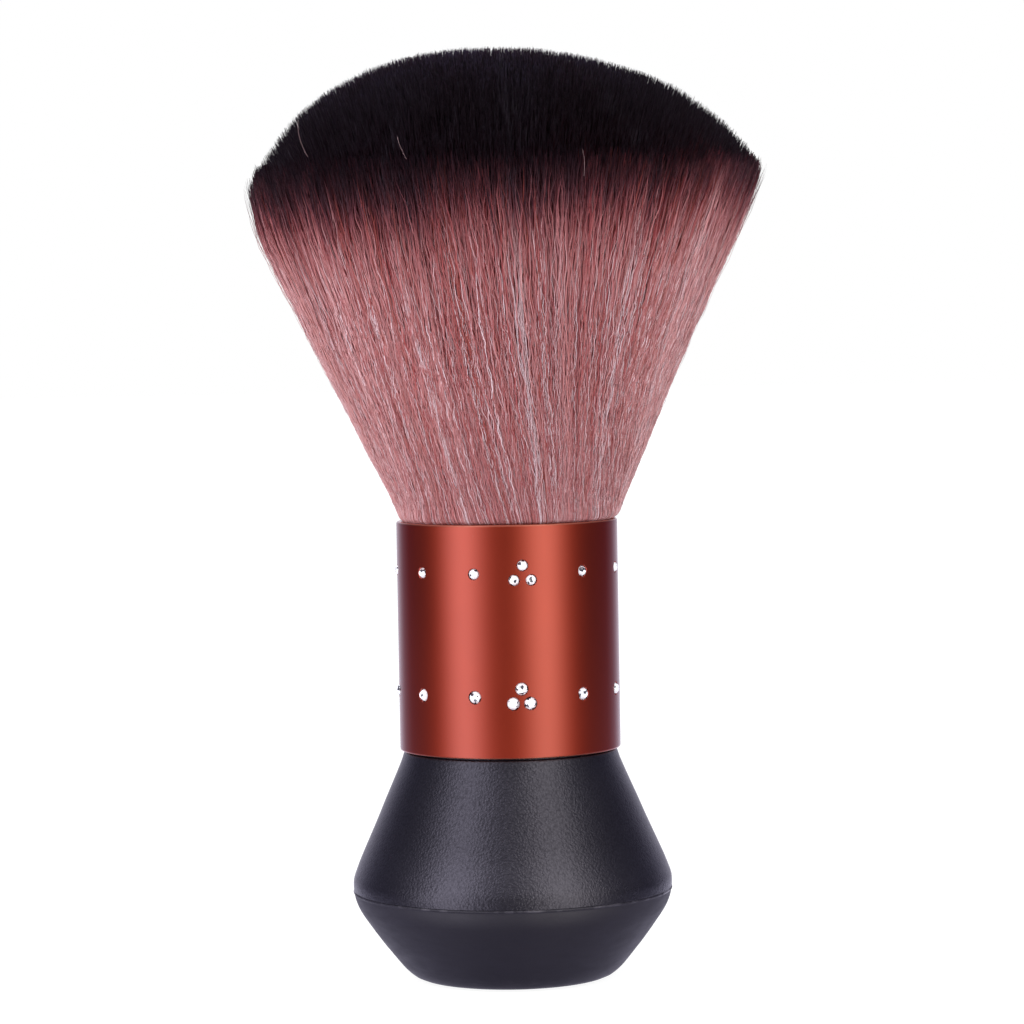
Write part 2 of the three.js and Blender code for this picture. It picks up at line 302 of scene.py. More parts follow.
def shell_material():
    m = Nodes("grained_black_plastic")
    p = m.coord()
    x, y, z = m.xyz(p)
    cloud = m.noise(p, 70, 3, 0.5)
    height = grain_height(m, p, 2700)
    # the grain is polished a little where hands and the bench rub the widest part, and the colour there is painted
    # lighter as a painted highlight on the belly
    belly = m.math("MULTIPLY", m.spread(z, 0.0136, 0.0156), m.spread(z, 0.0205, 0.0172))
    rubbed_and_highlit = m.math("MULTIPLY", belly, m.spread(m.noise(p, 130, 3, 0.6), 0.45, 0.7))
    base = m.mix(m.spread(cloud, 0.3, 0.7), (0.0030, 0.0026, 0.0046), (0.0042, 0.0037, 0.0060))
    # painted highlight: the rubbed widest part is painted lighter
    base = m.mix(m.math("MULTIPLY", rubbed_and_highlit, 0.35), base, (0.020, 0.019, 0.024))
    dust = m.math("MULTIPLY", m.math("LESS_THAN", m.voronoi(p, 520), 0.045), m.math("GREATER_THAN", m.noise(p, 200, 1), 0.6))
    base = m.mix(m.math("MULTIPLY", dust, 0.25), base, (0.2, 0.2, 0.22))
    rough = m.math("SUBTRACT", m.spread(height, -0.4, 0.2, 0.335, 0.285), m.math("MULTIPLY", rubbed_and_highlit, 0.06))
    s = m.principled(Base__Color=base, Roughness=rough, Normal=m.bump(height, 0.000062, 0.9))
    m.feed(s.inputs["Specular IOR Level"], m.math("ADD", m.spread(height, -0.45, 0.15, 0.84, 1.52), m.math("MULTIPLY", m.spread(z, 0.0150, 0.0175), m.spread(z, 0.0245, 0.0200, 0.0, 0.32))))
    s.inputs["Specular Tint"].default_value = (0.83, 0.79, 1.0, 1.0)
    s.inputs["Coat Weight"].default_value = 0.0
    return m.finish(s)


def cup_material():
    m = Nodes("satin_charcoal_plastic")
    p = m.coord()
    x, y, z = m.xyz(p)
    cloud = m.noise(p, 60, 3, 0.5)
    fine = m.noise(p, 3000, 2, 0.5)
    flow = m.noise(m.mapped(p, (1, 1, 3.5)), 240, 3, 0.6)
    base = m.mix(m.spread(cloud, 0.3, 0.7), (0.0086, 0.0075, 0.0145), (0.0106, 0.0093, 0.0170))
    scuff = m.math("MULTIPLY", m.spread(z, 0.0022, 0.0004), m.spread(m.noise(m.mapped(p, (1, 1, 4)), 420, 4, 0.7), 0.52, 0.72))
    base = m.mix(m.math("MULTIPLY", scuff, 0.5), base, (0.075, 0.072, 0.085))
    rough = m.math("ADD", m.spread(flow, 0.3, 0.7, 0.47, 0.55), m.math("MULTIPLY", scuff, 0.12))
    # the bead along the parting line is rubbed smoother and shinier in broken dashes, and painted lighter there as a
    # painted highlight
    angle = m.math("ARCTAN2", x, y)
    dashes = m.noise(m.node("ShaderNodeCombineXYZ", X=m.math("MULTIPLY", angle, 0.03), Y=0.0, Z=m.math("MULTIPLY", z, 0.5)).outputs[0], 150, 3, 0.6)
    bead_highlight_dashes = m.math("MULTIPLY", m.spread(z, 0.01450, 0.01460), m.spread(dashes, 0.48, 0.60))
    # painted highlight: the dashes on the bead are painted lighter
    base = m.mix(m.math("MULTIPLY", bead_highlight_dashes, 0.6), base, (0.050, 0.046, 0.060))
    rough = m.math("SUBTRACT", rough, m.math("MULTIPLY", bead_highlight_dashes, 0.22))
    height = m.math("ADD", m.math("MULTIPLY", fine, 0.6), m.math("MULTIPLY", flow, 0.4))
    s = m.principled(Base__Color=base, Roughness=rough, Normal=m.bump(height, 0.000030, 0.6))
    m.feed(s.inputs["Specular IOR Level"], m.math("ADD", 0.60, m.math("ADD", m.math("MULTIPLY", bead_highlight_dashes, 0.6), m.spread(z, 0.0115, 0.0140, 0.0, 0.25))))
    s.inputs["Specular Tint"].default_value = (0.92, 0.89, 1.0, 1.0)
    return m.finish(s)


def stone_material():
    m = Nodes("foil_backed_crystal")
    p = m.coord()
    flecks = m.voronoi(p, 2300, "F1", "Color")
    which = m.node("ShaderNodeSeparateColor", Color=flecks).outputs[0]
    dark = m.math("GREATER_THAN", which, 0.80)
    veil = m.noise(p, 1500, 2, 0.5)
    base = m.mix(dark, m.mix(m.spread(veil, 0.35, 0.65), (0.95, 0.96, 1.0), (0.80, 0.83, 0.90)), (0.10, 0.10, 0.13))
    s = m.principled(Base__Color=base, Metallic=m.math("MULTIPLY", dark, 0.6), Roughness=m.spread(veil, 0.3, 0.7, 0.04, 0.10))
    s.inputs["Specular IOR Level"].default_value = 0.8
    s.inputs["Coat Weight"].default_value = 1.0
    s.inputs["Coat Roughness"].default_value = 0.02
    s.inputs["Coat IOR"].default_value = 1.65
    s.inputs["Emission Color"].default_value = (1, 1, 1, 1)
    s.inputs["Emission Strength"].default_value = 0.0
    return m.finish(s)


def inner_plastic_material():
    m = Nodes("natural_moulded_plastic")
    p = m.coord()
    flow = m.noise(m.mapped(p, (1, 1, 3)), 120, 3, 0.5)
    base = m.mix(m.spread(flow, 0.3, 0.7), (0.60, 0.57, 0.50), (0.68, 0.65, 0.58))
    return m.finish(m.principled(Base__Color=base, Roughness=m.spread(flow, 0.3, 0.7, 0.42, 0.55), Normal=m.bump(m.noise(p, 2200, 2), 0.00001, 0.4)))


def glue_material():
    m = Nodes("amber_epoxy")
    p = m.coord()
    cloud = m.noise(p, 180, 4, 0.6)
    bubbles = m.voronoi(p, 700)
    base = m.mix(m.spread(cloud, 0.3, 0.7), (0.36, 0.24, 0.09), (0.48, 0.34, 0.15))
    return m.finish(m.principled(Base__Color=base, Roughness=m.spread(cloud, 0.3, 0.7, 0.15, 0.32), Normal=m.bump(bubbles, 0.00004, 0.5)))


def thread_material():
    m = Nodes("waxed_thread")
    p = m.coord()
    x, y, z = m.xyz(p)
    twist = m.math("SINE", m.math("ADD", m.math("MULTIPLY", m.math("ARCTAN2", x, y), 90.0), m.math("MULTIPLY", z, 16000.0)))
    fuzz = m.noise(p, 2600, 3, 0.7)
    base = m.mix(m.spread(twist, -1, 1), (0.46, 0.42, 0.35), (0.66, 0.62, 0.54))
    return m.finish(m.principled(Base__Color=base, Roughness=m.spread(fuzz, 0.3, 0.7, 0.7, 0.9), Normal=m.bump(m.math("ADD", twist, fuzz), 0.00005, 0.6)))


# dyed filament: u is the filament's own number, v rises along it and crosses the dye line near 0.55
PINK_ROOT = (0.585, 0.250, 0.250)
PINK_MID = (0.572, 0.229, 0.224)
DYE_AND_TIP_FRINGE = [
    (0.00, PINK_ROOT),
    (0.25, PINK_MID),
    (0.45, (0.540, 0.205, 0.202)),
    (0.500, (0.438, 0.146, 0.149)),
    (0.530, (0.262, 0.069, 0.076)),
    (0.555, (0.116, 0.029, 0.037)),
    (0.580, (0.044, 0.0118, 0.0168)),
    (0.612, (0.0128, 0.0044, 0.0074)),
    (0.700, (0.0068, 0.0032, 0.0056)),
    (0.850, (0.0060, 0.0029, 0.0052)),
    # from 0.93 on: the tips are painted lighter and violet, a painted fringe of light at the silhouette
    (0.930, (0.028, 0.020, 0.040)),
    (1.00, (0.028, 0.020, 0.040)),
]


def filament_material(name="dyed_filament", deep=False):
    """deep: the filaments under the outer ones, painted darker and redder as painted shade, for light that has passed
    through dyed hair several times.
    """
    m = Nodes(name)
    uv = m.node("ShaderNodeUVMap", _uv_map="OFBake").outputs[0]
    u, v, _ = m.xyz(uv)
    streak = m.noise(m.mapped(uv, (900, 26, 1)), 1.0, 2, 0.6, 0.0, "2D")
    v2 = m.math("ADD", v, m.math("MULTIPLY", m.math("SUBTRACT", streak, 0.5), 0.035))
    dyed = m.ramp(v2, DYE_AND_TIP_FRINGE)
    # filament families: most rose, a few deep, a few nearly white
    tone = m.ramp(u, [(0.0, (0.66, 0.22, 0.25)), (0.12, (0.79, 0.44, 0.46)), (0.26, (0.90, 0.74, 0.75)), (0.40, (1.0, 1.0, 1.0)), (0.70, (1.11, 1.24, 1.26)), (0.80, (1.18, 1.42, 1.46)), (0.84, (1.22, 1.54, 1.58)), (1.0, (1.24, 1.56, 1.60))])
    # near the collar the filaments lie close and the families show less
    tone = m.mix(m.spread(v, 0.22, 0.08, 0.0, 0.14), tone, (1.02, 1.02, 1.02))
    pale = m.math("GREATER_THAN", u, 0.86)
    pinkness = m.math("SUBTRACT", 1.0, m.spread(v2, 0.46, 0.60))
    c = m.mix(1.0, dyed, tone, "MULTIPLY")
    c = m.mix(m.math("MULTIPLY", m.math("MULTIPLY", pale, m.spread(v2, 0.52, 0.40)), m.spread(u, 0.87, 0.99, 0.38, 1.0)), c, (1.0, 0.83, 0.90))
    # some lean to mauve, some to rose
    hue = m.math("MULTIPLY", m.math("FRACT", m.math("MULTIPLY", u, 37.0)), m.math("SUBTRACT", 1.0, pale))
    c = m.mix(m.math("MULTIPLY", hue, m.math("MULTIPLY", pinkness, 0.8)), c, m.mix(1.0, c, (0.90, 1.06, 1.16), "MULTIPLY"))
    warm = m.math("MULTIPLY", m.math("LESS_THAN", u, 0.05), pinkness)
    c = m.mix(m.math("MULTIPLY", warm, 0.5), c, (0.40, 0.13, 0.10))
    c = m.mix(m.math("MULTIPLY", m.spread(streak, 0.35, 0.7), 0.18), c, m.mix(1.0, c, (1.25, 1.22, 1.24), "MULTIPLY"))
    # painted shade: the deep filaments are painted darker and redder
    if deep:
        c = m.mix(m.math("MULTIPLY", pinkness, 0.85), c, m.mix(1.0, c, (0.92, 0.50, 0.52), "MULTIPLY"))
    # packed hair catches light partly as one soft body: each normal is drawn towards the bundle's own
    x, y, z = m.xyz(m.coord())
    radius = m.math("SQRT", m.math("ADD", m.math("MULTIPLY", x, x), m.math("MULTIPLY", y, y)))
    rise = m.math("SUBTRACT", m.math("MULTIPLY", m.math("MAXIMUM", m.math("SUBTRACT", z, 0.134), 0.0), 2.5), m.math("MULTIPLY", radius, 0.42))
    body = m.node("ShaderNodeVectorMath", _operation="NORMALIZE")
    m.feed(body.inputs[0], m.node("ShaderNodeCombineXYZ", X=x, Y=y, Z=rise).outputs[0])
    own = m.node("ShaderNodeNewGeometry").outputs["Normal"]
    both = m.node("ShaderNodeVectorMath", _operation="NORMALIZE")
    m.feed(both.inputs[0], m.mix(m.math("ADD", 0.32, m.math("MULTIPLY", pale, 0.48)), own, body.outputs[0]))
    # towards the bundle's flanks the colour is painted paler, a painted sheen for the light that passes through the
    # loose outer hair there
    rim = m.node("ShaderNodeLayerWeight", Blend=0.5)
    m.feed(rim.inputs["Normal"], body.outputs[0])
    flank_sheen = m.math("MULTIPLY", m.spread(rim.outputs["Facing"], 0.12, 0.85), m.spread(v2, 0.53, 0.43, 0.0, 0.25 if not deep else 0.08))
    c = m.mix(flank_sheen, c, (0.86, 0.62, 0.62))
    s = m.principled(Base__Color=c, Roughness=0.38, Normal=both.outputs[0])
    level = m.spread(v2, 0.52, 0.60, 0.10 if deep else 0.40, 0.10 if deep else 0.24)
    m.feed(s.inputs["Specular IOR Level"], m.math("ADD", level, m.math("MULTIPLY", pale, 0.5)))
    m.feed(s.inputs["Specular Tint"], m.mix(m.spread(v2, 0.52, 0.60), (1.0, 0.74, 0.76), (0.86, 0.76, 1.0)))
    m.feed(s.inputs["Sheen Weight"], m.math("ADD", m.spread(v2, 0.58, 0.50, 0.02, 0.0 if deep else 0.08), m.math("MULTIPLY", pale, 0.5)))
    s.inputs["Sheen Roughness"].default_value = 0.35
    s.inputs["Sheen Tint"].default_value = (1.0, 0.86, 0.90, 1.0)
    t = m.node("ShaderNodeBsdfTranslucent", Color=m.mix(m.spread(v2, 0.54, 0.62), c, (0.040, 0.026, 0.066)))
    mixed = m.node("ShaderNodeMixShader", Fac=0.25)
    m.feed(mixed.inputs[1], s)
    m.feed(mixed.inputs[2], t)
    # light that reaches the deeper hair has come through other dyed hair, and is rose coloured
    through = m.node("ShaderNodeBsdfTransparent", Color=(0.98, 0.66, 0.68, 1.0))
    shaded = m.node("ShaderNodeMixShader", Fac=m.math("MULTIPLY", m.node("ShaderNodeLightPath").outputs["Is Shadow Ray"], m.math("MULTIPLY", pinkness, 0.55)))
    m.feed(shaded.inputs[1], mixed)
    m.feed(shaded.inputs[2], through)
    return m.finish(shaded)


def core_material():
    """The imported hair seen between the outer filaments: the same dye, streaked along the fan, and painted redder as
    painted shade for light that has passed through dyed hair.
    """
    m = Nodes("packed_filament")
    p = m.coord()
    x, y, z = m.xyz(p)
    angle = m.math("ARCTAN2", x, m.math("MULTIPLY", y, -1.0))
    streaks = m.noise(m.node("ShaderNodeCombineXYZ", X=m.math("SINE", angle), Y=m.math("COSINE", angle), Z=m.math("MULTIPLY", z, 3.0)).outputs[0], 95, 4, 0.7)
    broad = m.noise(m.node("ShaderNodeCombineXYZ", X=m.math("SINE", angle), Y=m.math("COSINE", angle), Z=m.math("MULTIPLY", z, 1.5)).outputs[0], 14, 3, 0.6)
    v = m.math("ADD", 0.55, m.math("DIVIDE", m.math("SUBTRACT", z, m.math("ADD", m.math("MULTIPLY", m.math("MULTIPLY", x, x), 1.4), m.math("ADD", 0.12935, m.math("MULTIPLY", x, 0.045)))), 0.110))
    v2 = m.math("ADD", v, m.math("MULTIPLY", m.math("SUBTRACT", streaks, 0.5), 0.06))
    dyed = m.ramp(v2, DYE_AND_TIP_FRINGE)
    # painted shade: every stop keeps red and cuts green and blue, so the core is redder than the dye; the stops also
    # vary the streaks
    c = m.mix(1.0, dyed, m.ramp(streaks, [(0.3, (0.80, 0.34, 0.36)), (0.5, (1.0, 0.48, 0.50)), (0.7, (1.15, 0.66, 0.68))]), "MULTIPLY")
    c = m.mix(1.0, c, m.ramp(broad, [(0.3, 0.85), (0.7, 1.05)]), "MULTIPLY")
    s = m.principled(Base__Color=c, Roughness=0.7, Normal=m.bump(streaks, 0.0004, 0.8))
    s.inputs["Specular IOR Level"].default_value = 0.05
    return m.finish(s)


# ------------------------------------------------------------------ base
# Half-widths of the black base against height, from the foot to the collar.
LOWER_OUT = [(16.25, 0.03), (16.62, 0.12), (17.15, 0.42), (17.85, 0.95), (18.6, 1.65), (19.65, 2.85), (20.45, 3.85), (21.25, 4.85), (22.05, 5.85),
             (22.83, 6.9), (23.6, 7.95), (24.3, 8.95), (25.0, 9.95), (25.7, 11.0), (26.3, 12.05), (26.68, 12.95), (26.93, 13.75), (27.06, 14.35)]
UPPER_OUT = [(27.17, 15.3), (27.2, 15.9), (27.17, 16.6), (27.0, 17.4), (26.75, 18.1), (26.45, 18.9), (26.02, 20.0), (25.5, 21.2), (24.12, 24.3),
             (22.79, 27.3), (21.5, 30.35), (20.16, 33.4), (18.96, 36.2), (18.6, 37.1), (18.38, 37.75), (18.24, 38.2)]


def sampled(points, n):
    r, z = np.array(points).T
    zi = np.linspace(z[0], z[-1], n)
    return list(zip(pchip(z, r, zi), zi))


def wobble(th, seed, amount):
    """A slight unevenness round a moulding's edge, in mm."""
    rng = np.random.default_rng(SEED + seed)
    total = np.zeros(len(th))
    for k in (2, 3, 5, 9, 14, 23, 31, 47):
        total += rng.normal() / math.sqrt(k) * np.sin(k * th + rng.uniform(0, 6.3))
    return amount * total


def base_lower():
    out = [(0, 0.75), (0.5, 0.75), (0.75, 0.6)]
    out += [(10.6, 0.6), (10.85, 0.55), (11.1, 0.3), (11.3, 0.06), (11.6, 0.0), (13.8, 0.0), (16.0, 0.0)]
    out += sampled(LOWER_OUT, 40)
    rim = len(out)
    out += [(27.09, 14.50), (27.17, 14.57), (27.23, 14.66), (27.25, 14.75), (27.235, 14.84), (27.18, 14.91), (27.08, 14.945), (25.2, 14.945), (25.1, 15.0)]
    out += [(25.1, 16.7), (25.5, 17.15), (25.5, 17.5), (25.0, 18.05), (23.8, 18.05), (23.8, 12.65), (21.4, 8.85), (17.2, 3.1), (16.2, 2.6), (0, 2.6)]

    def shape(th, i, r, z):
        return np.full(len(th), float(r)) + (wobble(th, 31, 0.018) if rim - 1 <= i <= rim + 6 else 0)

    me = turned("base_lower_body", out, 288, shape=shape)
    crease(me, 38)
    return put("base_lower_body", me, cup_material(), replaces=("base_lower_cup",))


def base_upper():
    out = [(25.35, 14.965), (27.09, 14.965), (27.135, 14.975), (27.155, 15.02), (27.16, 15.12)]
    out += sampled(UPPER_OUT, 60)
    out += [(18.14, 38.45), (18.04, 38.58), (17.9, 38.64), (17.7, 38.65), (17.4, 38.65)]
    neck = len(out)
    out += [(17.4, 39.45), (17.4, 39.55), (17.4, 46.9), (17.4, 47.0), (17.4, 48.25), (17.0, 48.65), (15.2, 48.65), (15.2, 39.05)]
    out += [(16.6, 36.45), (23.3, 20.85), (24.6, 18.95), (25.35, 18.35), (25.75, 17.75), (25.75, 17.05), (25.35, 16.6)]

    def ribs(th, i, r, z):
        rr = np.full(len(th), float(r))
        if 1 <= i <= 5:
            rr += wobble(th, 33, 0.018)
        if neck + 1 <= i <= neck + 2:
            turn = (th / (2 * np.pi) * 8 + 0.5) % 1.0
            near = np.minimum(turn, 1 - turn) / 8 * 2 * np.pi * 17.5
            rr[near < 0.62] = 17.7
        return rr

    me = turned("base_upper_body", out, 288, closed=True, shape=ribs)
    crease(me, 38)
    return put("base_upper_body", me, shell_material(), replaces=("base_upper_shell",))


# ------------------------------------------------------------------ ferrule and stones
gem_nodes = sorted(n for n in frame["nodes"] if n.startswith("gem_"))


def gem_place(node):
    lo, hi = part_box(node)
    c = (lo + hi) / 2
    upper = node.startswith("gem_upper")
    return math.atan2(c.x, -c.y), c.z / MM, 0.9 if upper else 1.05, 0.85 if upper else 0.95


def gem_frame(angle):
    """Columns: across, up, out."""
    out = Vector((math.sin(angle), -math.cos(angle), 0))
    up = Vector((0, 0, 1))
    across = up.cross(out)
    return across, up, out


def ferrule():
    R, lo, hi = 18.8, 38.9, 77.85
    out = [(17.8, lo + 0.25), (17.9, lo + 0.06), (18.05, lo), (18.45, lo), (18.60, lo + 0.03), (18.71, lo + 0.10), (18.77, lo + 0.20), (R, lo + 0.34)]
    out += [(R, z) for z in (43.5, 47.0, 52.0, 58.5, 67.0, 73.0, hi - 0.42)]
    out += [(18.77, hi - 0.26), (18.69, hi - 0.12), (18.56, hi - 0.03), (18.42, hi), (17.85, hi - 0.01), (17.62, hi - 0.06), (17.44, hi - 0.18),
            (17.33, hi - 0.36), (17.3, hi - 0.6), (17.3, hi - 1.4), (17.8, hi - 1.9)]
    me = turned("ferrule_tube", out, 288, closed=True)
    tube = bpy.data.objects.new("ferrule_tube", me)
    scene.collection.objects.link(tube)
    bm = bmesh.new()
    for node in gem_nodes:
        angle, z, r, _ = gem_place(node)
        across, up, outward = gem_frame(angle)
        seat = [(r + 0.06, 18.2), (r + 0.06, 18.72), (r + 0.16, 18.9), (r + 0.16, 19.6)]
        rings = []
        for rad, dist in seat:
            rings.append([bm.verts.new((outward * dist + across * rad * math.cos(a) + up * (rad * math.sin(a) + z)) * MM)
                          for a in (k * 2 * math.pi / 28 for k in range(28))])
        for a, b in zip(rings, rings[1:]):
            for k in range(28):
                bm.faces.new((a[k], a[(k + 1) % 28], b[(k + 1) % 28], b[k]))
        bm.faces.new(rings[0][::-1])
        bm.faces.new(rings[-1])
    bmesh.ops.recalc_face_normals(bm, faces=bm.faces)
    cut_mesh = bpy.data.meshes.new("seat_cutters")
    bm.to_mesh(cut_mesh)
    bm.free()
    cutter = bpy.data.objects.new("seat_cutters", cut_mesh)
    scene.collection.objects.link(cutter)
    mod = tube.modifiers.new("seats", "BOOLEAN")
    mod.operation, mod.object, mod.solver = "DIFFERENCE", cutter, "EXACT"
    dg = bpy.context.evaluated_depsgraph_get()
    done = bpy.data.meshes.new_from_object(tube.evaluated_get(dg))
    bpy.data.objects.remove(tube)
    bpy.data.objects.remove(cutter)
    bpy.data.meshes.remove(cut_mesh)
    done.name = "ferrule_body"
    crease(done, 30)
    # the wall's big faces keep the tube's own normals, so the seats don't dent its reflections
    n = len(done.vertices)
    co = np.zeros(n * 3, np.float32)
    done.vertices.foreach_get("co", co)
    co = co.reshape(-1, 3) / MM
    rad = np.hypot(co[:, 0], co[:, 1])
    wall = (rad > 18.79) & (co[:, 2] > lo + 0.3) & (co[:, 2] < hi - 0.38)
    normals = np.zeros((len(done.loops), 3), np.float32)
    for poly in done.polygons:
        idx = [done.loops[k].vertex_index for k in poly.loop_indices]
        c = poly.center
        rr = math.hypot(c.x, c.y)
        if all(wall[i] for i in idx) and abs(poly.normal.x * c.x / rr + poly.normal.y * c.y / rr) > 0.97:
            for k, i in zip(poly.loop_indices, idx):
                normals[k] = (co[i, 0] / rad[i], co[i, 1] / rad[i], 0)
    done.normals_split_custom_set([tuple(v) for v in normals])
    return put("ferrule_body", done, anodised_material(), replaces=("ferrule",))


def stone_rows():
    made = []
    material = stone_material()
    for row in ("upper", "lower"):
        nodes = [n for n in gem_nodes if n.startswith("gem_" + row)]
        whole = bmesh.new()
        rng = np.random.default_rng(SEED + (1 if row == "upper" else 2))
        for node in nodes:
            angle, z, r, h = gem_place(node)
            across, up, outward = gem_frame(angle)
            spin, floor = rng.uniform(0, 0.8), 18.8 - 0.6 + 0.05
            tilt = rng.normal(0, 0.02, 2)
            bm = bmesh.new()
            for rad, dist, n, turn in ((0.94, 0, 16, 0), (1.0, 0.16, 16, 0), (1.0, 0.26, 16, 0), (0.80, 0.70, 8, 0.5), (0.53, 1.0, 8, 0.0)):
                for k in range(n):
                    a = (k + turn) * 2 * math.pi / n + spin
                    lean = tilt[0] * math.cos(a) + tilt[1] * math.sin(a)
                    bm.verts.new((outward * (floor + dist * h + lean * rad * r * (dist > 0.3)) + across * rad * r * math.cos(a) + up * (rad * r * math.sin(a) + z)) * MM)
            bmesh.ops.convex_hull(bm, input=bm.verts)
            bmesh.ops.dissolve_limit(bm, angle_limit=math.radians(1.0), verts=bm.verts, edges=bm.edges)
            bmesh.ops.recalc_face_normals(bm, faces=bm.faces)
            part = bpy.data.meshes.new("part")
            bm.to_mesh(part)
            bm.free()
            whole.from_mesh(part)
            bpy.data.meshes.remove(part)
        me = bpy.data.meshes.new("stones_" + row)
        whole.to_mesh(me)
        whole.free()
        me.shade_flat()
        made.append(put("stones_" + row, me, material, replaces=nodes))
    return made


# ------------------------------------------------------------------ tuft
# Outer half-width of the bundle against height on its left and right, and the height of the trimmed dome against half-width.
FAN_Z = [72, 76.15, 77.4, 77.85, 78.2, 78.6, 79.25, 81.05, 84.45, 89.45, 94.65, 99.45, 104.85, 108.45, 111.65, 115.45, 118.45, 121.45, 125.25, 128.65, 132.05, 133.85, 136.75, 140, 150, 162]
FAN_LEFT = [16.3, 16.95, 17.2, 17.6, 18.1, 18.35, 18.6, 19.25, 20.85, 23.4, 25.85, 28.25, 30.95, 32.7, 34.25, 36.15, 37.75, 39.2, 40.95, 41.95, 42.65, 42.95, 43.4, 43.9, 45.2, 46.4]
FAN_RIGHT = [16.3, 16.95, 17.25, 18.0, 18.75, 19.15, 19.5, 20.15, 21.55, 23.7, 25.85, 27.9, 30.3, 31.95, 33.4, 35.2, 36.5, 37.95, 39.65, 41.15, 42.5, 43.2, 44.2, 45.0, 46.8, 48.0]
DOME_LEFT = [(0, 157.6), (5, 157.6), (10.8, 157.2), (17.0, 156.1), (20.75, 154.9), (23.85, 153.45), (28.2, 151.3), (30.7, 149.6), (33.3, 147.6), (35.3, 145.8),
             (37.4, 143.4), (38.9, 141.5), (40.6, 139.2), (41.8, 137.5), (42.6, 135.9), (43.1, 134.2), (44.5, 131.5)]
DOME_RIGHT = [(0, 157.6), (5.7, 157.45), (9.5, 156.95), (15.75, 155.75), (21.2, 154.15), (26.1, 152.3), (30.2, 150.1), (33.3, 147.9), (36.3, 145.5), (38.6, 143.5),
              (40.5, 141.5), (42.1, 139.6), (43.4, 137.9), (44.2, 136.5), (44.9, 134.8), (46.5, 131.0)]
_zs = np.linspace(72, 162, 1801)
_fan = [pchip(FAN_Z, v, _zs) for v in (FAN_LEFT, FAN_RIGHT)]
_rs = np.linspace(0, 47, 941)
_dome = [pchip(*np.array(v).T, _rs) for v in (DOME_LEFT, DOME_RIGHT)]


def fan(z, w=0.5):
    return np.interp(z, _zs, _fan[0]) * (1 - w) + np.interp(z, _zs, _fan[1]) * w


def dome(r, w=0.5):
    return np.interp(r, _rs, _dome[0]) * (1 - w) + np.interp(r, _rs, _dome[1]) * w


def rightness(angle):
    return 0.5 + 0.5 * np.sin(angle)


def tip_height(rho, w):
    lo, hi = np.full(len(rho), 120.0), np.full(len(rho), 160.0)
    for _ in range(40):
        mid = (lo + hi) / 2
        above = mid > dome(rho * fan(mid, w), w)
        hi = np.where(above, mid, hi)
        lo = np.where(above, lo, mid)
    return (lo + hi) / 2


# The bundle is not combed straight: how far filaments lean sideways from the plain fan (degrees), by height and by direction from the front.
LEAN_DEG = [-180, -120, -90, -64, -49, -37, -27, -17, -9, 0, 9, 17, 27, 37, 49, 64, 90, 120, 180]
LEAN_Z = [76, 85, 90, 95, 100, 106, 112, 118, 124, 130, 136, 142, 160]
LEAN = np.array([
    [-4, -3, 1, 5, 5, 1, -6, -12, -15, -16, -15, -12, -11, -13, -16, -16, -10, -3, -4],
    [-4, -3, 1, 4.6, 4.4, 0.6, -4.4, -9, -12.5, -14.5, -14, -12.5, -11, -12, -15, -15, -8, -3, -4],
    [-4, -3, 0, 2.3, 2.6, 0.4, -2.6, -6.5, -9.5, -12, -13, -12.5, -11, -11.5, -14, -13, -6, -3, -4],
    [-4, -3, 0, 1.7, 2.2, 1.1, -1.5, -5, -8, -10.2, -11.5, -11.5, -10.5, -10.2, -11, -10, -5, -3, -4],
    [-3, -2, 0, 2, 2.9, 2.0, -0.8, -4.5, -7, -9, -10, -10.5, -9.5, -9, -8, -7, -4, -2, -3],
    [-3, -2, 0, 3.1, 4.2, 3.0, 0.6, -2.5, -5.4, -7.8, -9, -9.5, -8.7, -7.6, -6, -4, -2, -2, -3],
    [-3, -2, 1, 3.9, 5.3, 4.2, 1.8, -1.2, -5, -7.3, -8, -8, -7.2, -5.7, -4, -3, -1, -2, -3],
    [-2, -2, 1, 3.5, 5.1, 4.2, 1.6, -1.2, -4.4, -6.5, -6.8, -6, -4.8, -3.2, -2, -3, -2, -1, -2],
    [-2, -1, 0, 1.5, 3.4, 2.6, 0, -2.5, -4.9, -6, -5.5, -4, -2, -0.7, 0, -1, 0, -1, -2],
    [-2, -1, -2, -5, -4.5, -4.2, -4.5, -5, -5, -4.5, -3, -0.6, 2, 4, 4.5, 3, 2, 0, -2],
    [-1, -2, -4, -9, -10, -9.5, -8.5, -6, -4, -1.5, 1, 2.8, 5.1, 7.4, 9.1, 8, 4, 2, -1],
    [-1, -2, -4, -10, -12, -12, -10.5, -8, -5, -1, 1.9, 4.0, 6, 8, 9, 8, 4, 2, -1],
    [0, -2, -4, -10, -12, -12, -10.5, -8, -5, -1, 1.9, 4.0, 6, 8, 9, 8, 4, 2, 0],
])
FLOW_Z = np.arange(76.0, 161.0)


def flow_table():
    """Turn about the axis of a filament that passes z = 125 at each whole degree, at each height of FLOW_Z."""
    start = np.radians(np.arange(360.0))
    turn = np.zeros((len(FLOW_Z), 360))
    mid = int(125 - FLOW_Z[0])

    def rate(phi, z):
        d = (np.degrees(phi) + 180) % 360 - 180
        row = np.array([np.interp(z, LEAN_Z, c) for c in LEAN.T])
        lean = np.radians(np.interp(d, LEAN_DEG, row))
        return np.tan(lean) / (fan(z) * np.maximum(np.abs(np.cos(phi)), 0.5))

    for order in (range(mid, 0, -1), range(mid, len(FLOW_Z) - 1)):
        phi = start.copy()
        step = -1 if order.step < 0 else 1
        for i in order:
            phi = phi + step * rate(phi, FLOW_Z[i])
            turn[i + step] = phi - start
    return turn


TURN = flow_table()


